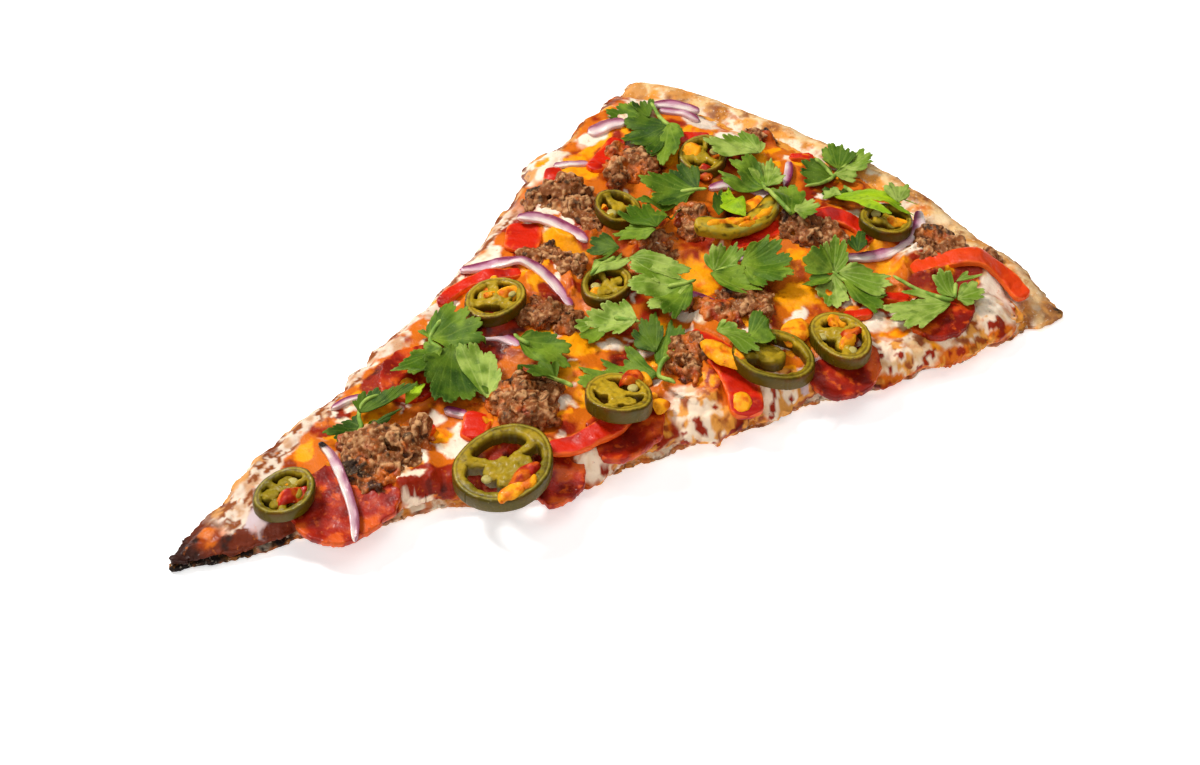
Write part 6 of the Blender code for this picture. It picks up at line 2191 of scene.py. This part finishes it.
@dataclass
class Cilantro:
    """Fresh cilantro: thin lobed leaflets with rounded teeth and pale veins, on thin stalks."""

    layers: Layers
    thickness: float = 0.24
    rows: int = 17
    spacing: float = 0.24
    tooth: float = 1.75
    tooth_depth: float = 0.80
    margin: float = 12.0
    stalk: float = 0.50
    pile_gap: float = 0.22
    SPRIGS = (
        Sprig("cilantro_tip", (
            leaf(DEEP, 1, 496, 23, 6, 32, 32, 8, 31, -9, 18, -28, 17, -21, 19, -24),
            leaf(DEEP, -0.6, 476, -11, 35, -5, 26, -16, 34, -5),
            leaf(DEEP, 0.2, 478, -5, 10, 35, -22, 13, -35, -19, -38, -7, 18, -34),
            leaf(YELLOW, 0.6, 576, -31, 35, 30, 31, 17, 2, -30, -26, -16),
        ), (trace(556, 36, -24, 7, -23, -5, -19, -19, -12, -24, -31, -14), trace(478, -5, -30, -42))),
        Sprig("cilantro_large", (
            leaf(MID, 0.2, 740, 100, 1, 44, 31, -3, 64, 4, 12, -48, -2, -52, -22, -35, -45, 13),
            leaf(MID, 0.2, 741, 55, -14, 50, -52, -18, -37, -17, -36, -11, 17, -48),
            leaf(LIGHT, 0.3, 726, -113, 49, 155, 25, -21, 20, -35, -23, -64, -37, -34),
            leaf(DEEP, -0.5, 768, 58, -82, -5, -39, -56, -22, -63, 19, -26, 45, -11, 43, -3),
        ), (trace(739, 53, 1, 47, 47, 21),)),
        Sprig("cilantro_lower_left", (
            leaf(MID, 0.3, 868, -46, 40, -4, 33, -32, 11, -43, -33, -40, -50, 23, -13, 45),
            leaf(DEEP, 0.3, 862, -180, -45, 85, -8, -71, 60, 24, 26, -2),
        ), (trace(868, -32, 0, -17, 10, -25), trace(845, -165, 28, -23, 10, -24))),
        Sprig("cilantro_middle", (
            leaf(LIGHT, 0.2, 1115, -150, 13, 66, -34, 27, -40, 7, -25, -19, 13, -32, 12, -50),
            leaf(LIGHT, 0.2, 1052, -79, -7, 25, -26, 0, -17, -18, 3, -16),
            leaf(MID, 0, 1067, -102, -72, 5, 0, -34, 43, 8),
        ), (trace(1117, -157, -12, 26, -14, 30),)),
        Sprig("cilantro_near_middle", (
            leaf(DEEP, 0.3, 1090, -242, -22, 47, 17, 33, 41, 12, 38, -6, -17, -36),
            leaf(MID, 0.5, 1044, -304, 88, 87, 41, 24, 6, -29),
            leaf(MID, -0.3, 1042, -303, 7, 119, -57, 13, -52, 14, -29, -34, 61, -8, 46, -15),
        ), (trace(1160, -253, -51, -19, -65, -32, -9, -26, 5, -31),)),
        Sprig("cilantro_centre", (
            leaf(DEEP, 0.4, 1241, 56, -7, 58, -28, 11, -24, -21, -21, -53, 46, 6),
            leaf(LIGHT, 0.3, 1123, 19, 78, 39, 38, -11, -11, -44),
            leaf(LIGHT, 0.3, 1224, 8, 41, -20, 30, -47, 16, -53, -40, -8, -44, 20, 1, 61),
            leaf(LIGHT, 0, 1284, -141, -73, 131, -51, -50, -15, -90),
            leaf(MID, -0.4, 1284, -141, -112, -9, -21, -37, 15, -25, 38, 12),
        ), (trace(1123, 19, 47, 12, 43, 9), trace(1294, -141, -29, 7, -33, 17))),
        Sprig("cilantro_right_middle", (
            leaf(LIGHT, 0.2, 1351, -137, 6, 41, 33, 10, 26, -7, 29, -19, 2, -28, -39, -10),
            leaf(MID, 0.2, 1338, -138, 74, -34, -1, -41, -26, -47, -44, 2, 11, 59, -6, 30),
            leaf(MID, 0.3, 1411, -157, 66, 17, 33, -1, 10, -38, -22, -56, -32, -41, -20, 5, -53, 14),
        ), (trace(1411, -157, -22, 15, -46, 3),)),
        Sprig("cilantro_near_small", (
            leaf(LIGHT, 0.2, 1194, -317, 38, 17, 7, -33, 4, -31, 0, -37, -20, -28, -27, 14),
            leaf(MID, 0.2, 1227, -381, 76, 51, 32, -9, 7, -15, -86, -62),
        )),
        Sprig("cilantro_far_rim", (
            leaf(MID, 0.2, 1603, 389, 11, 73, -29, 7, -41, 2, -17, -27, 27, -20),
            leaf(DEEP, 0.4, 1606, 379, 8, 71, 25, -4, 20, -13),
            leaf(DEEP, 0.2, 1613, 315, -16, 94, -44, 6, -54, -56, -6, -50, 8, -51),
            leaf(MID, 0, 1616, 318, -113, -44, -3, -63, 51, 2, 55, 41, 18, 45),
        ), (trace(1648, 420, -16, -37, -14, -34, -4, -36),)),
        Sprig("cilantro_far_middle", (
            leaf(DEEP, 0.3, 1512, 97, 38, 51, -20, 34, -36, 4, -16, -36),
            leaf(MID, 0.2, 1508, 97, -27, 84, -32, 13, -38, 2, -60, -63, 50, 2),
            leaf(DEEP, -0.3, 1501, 106, -100, 11, -55, -83, 44, 12, 65, 39, 30, 10),
            leaf(MID, 0.2, 1310, 10, 93, 88, -36, 19, -37, 9, -56, -13, 4, -41),
            leaf(MID, 0.2, 1305, 8, -30, 60, -44, 8, -6, -35, 40, -32),
        ), (trace(1524, 81, -20, 21, -26, 20),)),
        Sprig("cilantro_rim_far", (
            leaf(LIGHT, 0.3, 1708, 103, 30, 13, -11, 40, -6, 25, -40, 13, -41, 3, -29, 6, 1, -45),
            leaf(MID, 0.2, 1637, -4, -24, 62, -40, 29, 13, 28, 44, 11, 46, -12),
            leaf(LIGHT, 0.2, 1637, -1, 29, 94, 23, -7, 40, -1, -3, -31, -26, -51, -29, -15),
            leaf(MID, 0.3, 1587, -132, 47, 119, 31, -4, 17, -22, -4, -50, -39, -22),
            leaf(LIGHT, 0.2, 1598, -129, 66, 35, 11, -25, -17, -37, -25, -13, -32, 3),
        ), (trace(1650, 30, -48, -76, -8, -42, -7, -44),)),
        Sprig("cilantro_curled", (
            leaf(YELLOW, 0.5, 1509, -67, 5, 91, 50, 48, 22, 1, -29, -59),
            leaf(DEEP, 0.2, 1473, -17, 19, 41, 49, 50, 28, 4, -6, -14),
        )),
        Sprig("cilantro_rim_middle", (
            leaf(MID, 0.2, 1836, -33, -1, 55, 29, 30, 25, -1, 15, -22, 2, -25, 2, -20),
            leaf(LIGHT, 0.2, 1848, -43, 67, 35, 20, -2, 2, -36, -27, -30, -31, -6),
            leaf(DEEP, 0.3, 1808, -44, -61, 52, 29, 24, 28, -11, 22, -33),
            leaf(DEEP, 0.3, 1807, -49, -65, 48, -15, -29, 20, -17, 28, -1),
            leaf(LIGHT, 0.2, 1815, -44, 35, -1, 8, -32, -19, -13, -26, 17),
            leaf(DEEP, 0.2, 1779, -136, -29, 69, 8, 11, 27, -6, 19, -23),
            leaf(LIGHT, 0.2, 1758, -124, -26, 38, 13, 13, 19, -13),
            leaf(YELLOW, 0.3, 1746, -107, 42, -50, 20, -37, 18, -40, 29, -39, -41, -28, -54, 18, -3, 64),
            leaf(LIGHT, 0.2, 1815, -246, -2, 48, 23, 4, 18, -18, 21, -8, -19, -23),
        ), (
            trace(1720, -41, 41, -8, 37, 1, 37, 11, 38, 9),
            trace(1810, -46, 1, 33, -8, 26),
            trace(1804, -85, -25, -51),
        )),
        Sprig("cilantro_near_right", (
            leaf(MID, 0.3, 1565, -297, -46, 50, 11, 16, 17, -3, 27, -8),
            leaf(LIGHT, 0.3, 1566, -298, 23, 59, 33, -4, 9, -24, -14, -24, -27, -20),
            leaf(MID, 0.2, 1564, -300, -40, 34, -32, -4, -5, -34, 30, -8),
            leaf(LIGHT, 0, 1566, -298, -73, -19, -7, -43, 14, -24, 36, 3, 20, 30),
            leaf(LIGHT, 0.2, 1572, -305, 36, -10, 24, -24, 22, -53, -24, -27, -32, -8),
            leaf(MID, -0.2, 1570, -321, 29, -111, -41, -31, -27, -2, 12, 55),
            leaf(LIGHT, 0.3, 1688, -540, -34, 42, -28, 53, -72, -12, -16, -42, 0, -48, 29, -25, 63, 13),
            leaf(LIGHT, 0.2, 1699, -541, 37, 63, -17, 13, -15, 3, -14, -33),
            leaf(LIGHT, 0.4, 1734, -509, 38, -3, 18, -23, -26, 15),
            leaf(LIGHT, 0.2, 1702, -545, 43, 21, 25, -9, 0, -33, -27, -22, -34, 9),
            leaf(DEEP, 0.2, 1636, -300, 0, 36, 18, 6, 41, 4, -33, -48),
        ), (
            trace(1565, -293, 6, -36, 14, -34, 11, -29),
            trace(1656, -393, 0, -37, 10, -52, 17, -45, 12, -15),
            trace(1699, -541, 35, 32),
        )),
    )

    def build(self) -> None:
        """Makes each sprig from its leaflets and stalks, laid over the toppings."""
        pile = self.layers.toppings.grown(3.0).smoothed(1.1)
        for number, sprig in enumerate(self.SPRIGS):
            bearing = Bearing.node(sprig.node, 1.0, 5.0)
            forms = [
                self.leaflet(leaflet, bearing, pile, 10 * number + place)
                for place, leaflet in enumerate(sprig.leaflets)
            ]
            for line in sprig.stalks:
                path = smooth_line(line, 0.5)
                height = np.maximum(bearing.at(path, 0.5), pile.at(path) + self.stalk) + 0.15
                radius = self.stalk * np.linspace(0.75, 1.1, len(path))
                form = tube(np.column_stack([path, height]), radius)
                shade = ease(noise(form.points, 2.0, 2, 120), -0.4, 0.4)
                forms.append(form.paint(mix(tone(112, 146, 52), tone(164, 186, 84), shade), 0.6))
            Form.joined(forms).place(sprig.node.replace("cilantro", "cilantro_sprig"), LEAF, "cilantro", sprig.node)

    def outline(self, leaflet: Leaflet, seed: int) -> tuple[Array, Array, Array, Array]:
        """The leaflet's edge in rays from its foot.

        Between two lobe tips the radius goes evenly from one to the other, less a notch that is deeper the
        further the tips stand apart; past the outer lobes it falls off over the margin. Rounded teeth are
        taken out of it at even steps along the edge.

        Args:
            leaflet: The leaflet.
            seed: Its own small differences.

        Returns:
            For each ray: its angle, its length, its distance to the nearest lobe's vein as an angle, and
            the lobe's number.
        """
        rng = np.random.default_rng(500 + seed)
        reach = leaflet.tips - leaflet.foot
        lengths = np.hypot(*reach.T)
        heading = math.atan2(*unit(reach).sum(axis=0)[::-1])
        tips = heading + (np.arctan2(reach[:, 1], reach[:, 0]) - heading + math.pi) % (2 * math.pi) - math.pi
        order = np.argsort(tips)
        tips, lengths = tips[order], lengths[order]
        margin = math.radians(self.margin)
        angle = np.linspace(tips[0] - margin, tips[-1] + margin, 900)
        size = np.interp(angle, tips, lengths)
        place = np.interp(angle, tips, np.arange(len(tips)))
        gap = np.append(np.diff(tips), 1.0)[np.minimum(place.astype(int), len(tips) - 1)]
        middle = np.abs(place % 1 - 0.5 - 0.1 * np.sin(place.astype(int) * 5 + seed))
        notch = np.clip(gap / 2.2, 0.05, 0.30) * np.exp(-middle / 0.15) + 0.06 * (0.5 - np.minimum(middle, 0.5))
        past = np.maximum(np.maximum(tips[0] - angle, angle - tips[-1]), 0) / margin
        notch = np.where(past > 0, 0.42 * past**2, notch)
        size = size * (1 - notch)
        ends = np.stack([np.cos(angle), np.sin(angle)], axis=1) * size[:, None]
        travel = np.concatenate([[0], np.cumsum(np.linalg.norm(np.diff(ends, axis=0), axis=1))])
        at = np.linspace(0, travel[-1], max(24, int(travel[-1] / self.spacing)))
        angle, size, past, place = (np.interp(at, travel, values) for values in (angle, size, past, place))
        phase = at / self.tooth + 0.25 * np.interp(at, np.linspace(0, at[-1], 12), rng.uniform(-1, 1, 12))
        scallop = 1 - np.abs(np.sin(math.pi * phase)) ** 0.7
        depth = self.tooth_depth * np.clip(size / 8, 0.5, 1.1) * (1 - ease(past, 0.2, 0.7))
        lobe = np.clip(np.round(place), 0, len(tips) - 1).astype(int)
        return angle, size - depth * scallop, angle - tips[lobe], lobe

    def leaflet(self, leaflet: Leaflet, bearing: Bearing, pile: Relief, seed: int) -> Form:
        """One leaflet: rays from its foot to its toothed edge, raised by folds, ripples and veins.

        Args:
            leaflet: The leaflet.
            bearing: The heights of its sprig's solid.
            pile: What it lies on.
            seed: Its own small differences.

        Returns:
            The painted leaflet.
        """
        rng = np.random.default_rng(700 + seed)
        angle, size, off, lobe = self.outline(leaflet, seed)
        share = (np.linspace(0.0, 1, self.rows) ** 0.75)[:, None] * 0.97 + 0.03
        reach = size * share
        plan = np.dstack([np.cos(angle) * reach, np.sin(angle) * reach]) + leaflet.foot
        grid = plan.shape[:2]
        flat = plan.reshape(-1, 2)

        main = np.exp(-((np.sin(off) * reach / 0.15) ** 2)) * ease(share, 0.0, 0.12) * (1 - 0.7 * share)
        count = 2.0 + 1.5 * rng.random(lobe.max() + 1)[lobe]
        fine = np.exp(-((np.sin(off * 9.0 * count) / 0.30) ** 2)) * ease(share, 0.35, 0.7)
        middle = 0.5 * (angle[0] + angle[-1])
        aside = np.abs(np.sin(np.clip(angle - middle, -1.5, 1.5)))
        fold = leaflet.fold * aside**1.5 * share**1.3 * 1.6
        wave = rng.uniform(0, 2 * math.pi, 3)
        ripple = 0.30 * np.sin(angle * 3.0 + wave[0]) * share**2
        bend = np.interp(angle, angle[[0, -1]], (0, lobe.max()))
        droop = np.interp(bend, np.arange(lobe.max() + 1), rng.uniform(-0.9, 0.9, lobe.max() + 1)) * share**2.2
        pucker = 0.05 * (1 - main) * ease(share, 0.1, 0.5)
        rise = (fold + ripple + 0.6 * droop + pucker).ravel()
        height = bearing.at(flat, 0.5) + rise + 0.75 * noise(flat, 7.0, 2, 130 + seed)
        height = np.maximum(height, pile.at(flat) + self.pile_gap)
        half = (0.5 * self.thickness * (1 - 0.5 * share**6) * np.ones(grid)).ravel()
        form = two_sided(*(np.column_stack([flat, height + side * half]).reshape(*grid, 3) for side in (1, -1)))

        blade, sheen, pale = (tone(*colour) for colour in leaflet.tone.value)
        broad, mottle = noise(flat, 5.5, 2, 131 + seed), noise(flat, 1.6, 3, 132)
        tint = mix(blade, sheen, ease(broad + 0.45 * mottle, -0.6, 0.7))
        tint = tint * (1 - 0.16 * ease(-mottle, 0.0, 0.8))[:, None]
        tint = mix(tint, pale, np.clip(0.36 * main + 0.03 * fine, 0, 1).ravel())
        tint = mix(tint, pale, ease((share * np.ones(grid)).ravel(), 0.965, 1.0) * 0.3)
        lower = mix(tint, sheen, 0.5 * np.ones(len(tint)))
        return form.paint(np.vstack([tint, lower]), 0.5)


# ---------------------------------------------------------------- small things on top


@dataclass(frozen=True)
class Drop:
    """A drop on the toppings: its middle, its size along and across, its height, and its turn."""

    x: float
    y: float
    length: float
    width: float
    height: float
    turn: float = 0.0


@dataclass
class Garnish:
    """Cheddar drops and sauce shreds that lie over the toppings."""

    pitch: float = 0.3
    fall: float = 1.6
    cheddar = tone(250, 164, 20)
    amber = tone(214, 102, 10)
    red = tone(168, 26, 5)
    # Drops of each kind, as Drop takes them.
    CHEDDAR = (
        (117, -36.6, 12, 5, 1.4, 95), (113, -47, 6, 4.4, 0.7, 30), (110, -41.5, 4.6, 3.4, 0.8, 60),
        (135.5, -39.3, 8.5, 6, 1.1, 20), (144.4, -43.8, 4.6, 4.2, 1.4), (140.5, -50.2, 5.5, 2.6, 0.7, 20),
        (98.6, -30.8, 4.6, 4.4, 1.4, 20), (100.9, -32.6, 4.8, 5.2, 1.5, 30), (98.8, -36.8, 4.6, 3.6, 1),
        (93.5, 13.6, 7.5, 3.4, 0.6, 40), (94.5, 9, 4, 5, 0.6, 60), (158.4, 21, 5.5, 4.6, 1),
        (134, 24.6, 9, 6, 0.8, 60), (69.7, -15.6, 3.6, 2.4, 0.6, 40), (81.8, -17.6, 7.5, 3.4, 0.9, 110),
        (84.2, -21.2, 6.5, 3, 0.7, 100), (78.6, -18.8, 4.5, 2.6, 0.6, 100), (57.5, -38.8, 7, 3.4, 1, -5),
        (61.5, -39.6, 5, 2.8, 0.7, 10), (47.5, -12, 8.5, 5, 0.5, 20), (96.3, -0.6, 4, 3, 0.6, 60),
        (104, -4, 4.5, 3, 0.6), (26.3, -5.4, 3.4, 2.4, 0.6, 30), (177.5, -28.5, 4.5, 3.6, 0.7),
        (111.2, -1.8, 3.4, 2.4, 0.6), (128.5, -19.5, 6.5, 4, 0.6, 40), (126, -24.5, 5.5, 4, 0.6),
        (141.5, 5, 6, 4, 0.6, 30), (108.5, -26, 5, 3, 0.6, 80), (147, 26, 5, 3.6, 0.6), (62.5, 3.2, 3, 2.2, 0.5),
        (121.5, -3, 5, 3.6, 0.5), (158, -2.5, 6, 4, 0.6, 20), (176, -36, 7, 3.4, 0.6, -10),
        (152.5, -32, 6, 3.6, 0.6, 30), (146.5, -6, 9, 2.2, 0.7, -18), (155.5, -7.6, 8, 2, 0.7, 6),
        (150, -8.4, 5, 1.8, 0.5, -10),
    )
    SHREDS = (
        (61.8, -37.4, 8.5, 3.6, 1.7, 8), (24.2, -9.2, 7.5, 3.4, 1.5, -12), (96.5, -30.6, 6.5, 4.4, 1.5, 10),
        (143.4, -49, 5, 3.2, 1.1), (106.5, -30, 4, 5, 0.9), (141, 25, 8, 6, 1), (46, -5.5, 9, 3.4, 0.8, -10),
        (159.5, -21.5, 5, 3.2, 0.9), (168, 8, 6, 4, 0.9), (133.5, 3, 6.5, 4.5, 0.9, 60), (157.6, 14, 4, 3.4, 1.1),
        (116.5, -33, 3.6, 3, 0.8),
    )

    def build(self) -> None:
        """Lays the drops on what is under them, in one piece for each kind."""
        ground = self.ground()
        for name, drops, light, dark, finish, slot in (
            ("cheddar_drops", self.CHEDDAR, self.cheddar, self.amber, CHEESE, "cheese"),
            ("sauce_shreds", self.SHREDS, self.red, self.amber, CURED, "sauce"),
        ):
            forms = []
            for number, row in enumerate(drops):
                form = self.drape(Drop(*row), ground, number)
                shade = noise(form.points, 1.8, 3, 141)
                forms.append(form.paint(mix(light, dark, ease(shade, -0.2, 0.7)), 0.6))
            Form.joined(forms).place(name, finish, slot)

    def ground(self) -> Relief:
        """Tops of everything that drops lie on, without the beef, whose lumps have their own shapes here."""
        names = [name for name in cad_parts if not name.startswith(("cilantro", "beef"))]
        return Relief.of(names).grown(4.0).smoothed(0.9)

    def drape(self, drop: Drop, ground: Relief, seed: int) -> Form:
        """A melted drop that follows the ground, at sqrt(1 - (1 - share)^2) of its height by the way in.

        Args:
            drop: The drop.
            ground: What it lies on.
            seed: Its own shape.

        Returns:
            The closed form.
        """
        middle, narrow = np.array([drop.x, drop.y]), 0.5 * min(drop.length, drop.width)

        def inside(plan: Array) -> Array:
            """Distance in from the drop's shaken oval."""
            local = turn(plan - middle, -drop.turn) / (drop.length / 2, drop.width / 2)
            return (1 - np.hypot(*local.T)) * narrow + 0.38 * noise(plan, 2.4, 2, 150 + seed)

        reach = 0.6 * max(drop.length, drop.width) + 1.0
        sheet = Sheet.cut(inside, middle - reach, middle + reach, self.pitch)
        share = np.clip(inside(sheet.plan) / narrow, 0, 1)
        floor = ground.at(sheet.plan)
        floor = np.maximum(floor, max(floor.max() - self.fall, 0.9))
        uneven = 0.85 + 0.25 * noise(sheet.plan, 1.8, 2, 151 + seed)
        top = floor + drop.height * np.sqrt(1 - (1 - share) ** 2) * uneven + 0.05
        return sheet.solid(floor - 0.5, top, [(0.10, 0.3), (0.14, 0.6)])


# ---------------------------------------------------------------- studio


@dataclass
class Studio:
    """Camera, lights and floor."""

    eye: tuple[float, float, float] = (-0.2677, -0.3113, 0.3850)
    target: tuple[float, float, float] = (-0.0202, -0.0164, 0.0)
    lens: float = 75.0
    floor_size: float = 3.0
    floor_depth: float = 0.0002
    world: float = 0.05
    glow: float = 0.50
    # name, place, size, watts, colour.
    LAMPS = (
        ("key_lamp", (-0.20, 0.52, 0.74), 0.22, 9.1, (1.0, 0.98, 0.94)),
        ("fill_lamp", (-0.70, -0.55, 0.75), 0.8, 4.6, (1.0, 0.99, 0.97)),
        ("top_lamp", (0.25, -0.1, 1.0), 0.7, 3.2, (1.0, 1.0, 0.98)),
    )

    def build(self) -> None:
        """Sets the camera, the lamps, the world and the pale floor."""
        scene = bpy.context.scene
        scene.view_settings.view_transform = "Standard"
        camera = bpy.data.objects.new("camera", bpy.data.cameras.new("camera"))
        camera.data.lens, camera.data.sensor_width = self.lens, 36.0
        camera.data.clip_start, camera.data.clip_end = 0.01, 20.0
        self.aim(camera, self.eye, self.target)
        scene.camera = camera
        for name, place, size, watts, colour in self.LAMPS:
            lamp = bpy.data.objects.new(name, bpy.data.lights.new(name, "AREA"))
            lamp.data.size, lamp.data.energy, lamp.data.color = size, watts, colour
            self.aim(lamp, place, (0.0, 0.0, 0.0))
        scene.world = scene.world or bpy.data.worlds.new("studio")
        scene.world.use_nodes = True
        white = (1.0, 1.0, 1.0, 1.0)
        settle(scene.world.node_tree.nodes["Background"], {"Color": white, "Strength": self.world})
        half = self.floor_size / 2
        mesh = bpy.data.meshes.new("floor")
        corners = [(-half, -half), (half, -half), (half, half), (-half, half)]
        mesh.from_pydata([(x, y, -self.floor_depth) for x, y in corners], [], [(0, 1, 2, 3)])
        material = bpy.data.materials.new("pale_floor")
        material.use_nodes = True
        settle(material.node_tree.nodes["Principled BSDF"], {
            "Base Color": (0.93, 0.93, 0.93, 1.0), "Roughness": 0.8,
            "Emission Color": white, "Emission Strength": self.glow,
        })
        mesh.materials.append(material)
        floor = bpy.data.objects.new("floor", mesh)
        scene.collection.objects.link(floor)

    @staticmethod
    def aim(thing: bpy.types.Object, place: tuple[float, ...], target: tuple[float, ...]) -> None:
        """Puts a camera or lamp at a place and points it at a target.

        Args:
            thing: The camera or lamp.
            place: Where it stands.
            target: Where it looks.
        """
        thing.location = place
        thing.rotation_euler = (Vector(target) - Vector(place)).to_track_quat("-Z", "Y").to_euler()
        bpy.context.scene.collection.objects.link(thing)


def main() -> None:
    """Builds the slice from the bread up, then the studio."""
    logging.basicConfig(level=logging.INFO, format="%(name)s: %(message)s")
    layers = Layers.read()
    for part in (
        Crust(layers), Sauce(layers), CheeseBed(layers), CuredMeat(), Peppers(layers), Onions(layers),
        Beef(layers), Jalapenos(), Cilantro(layers), Garnish(), Studio(),
    ):
        part.build()
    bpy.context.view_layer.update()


if __name__ == "__main__":
    main()
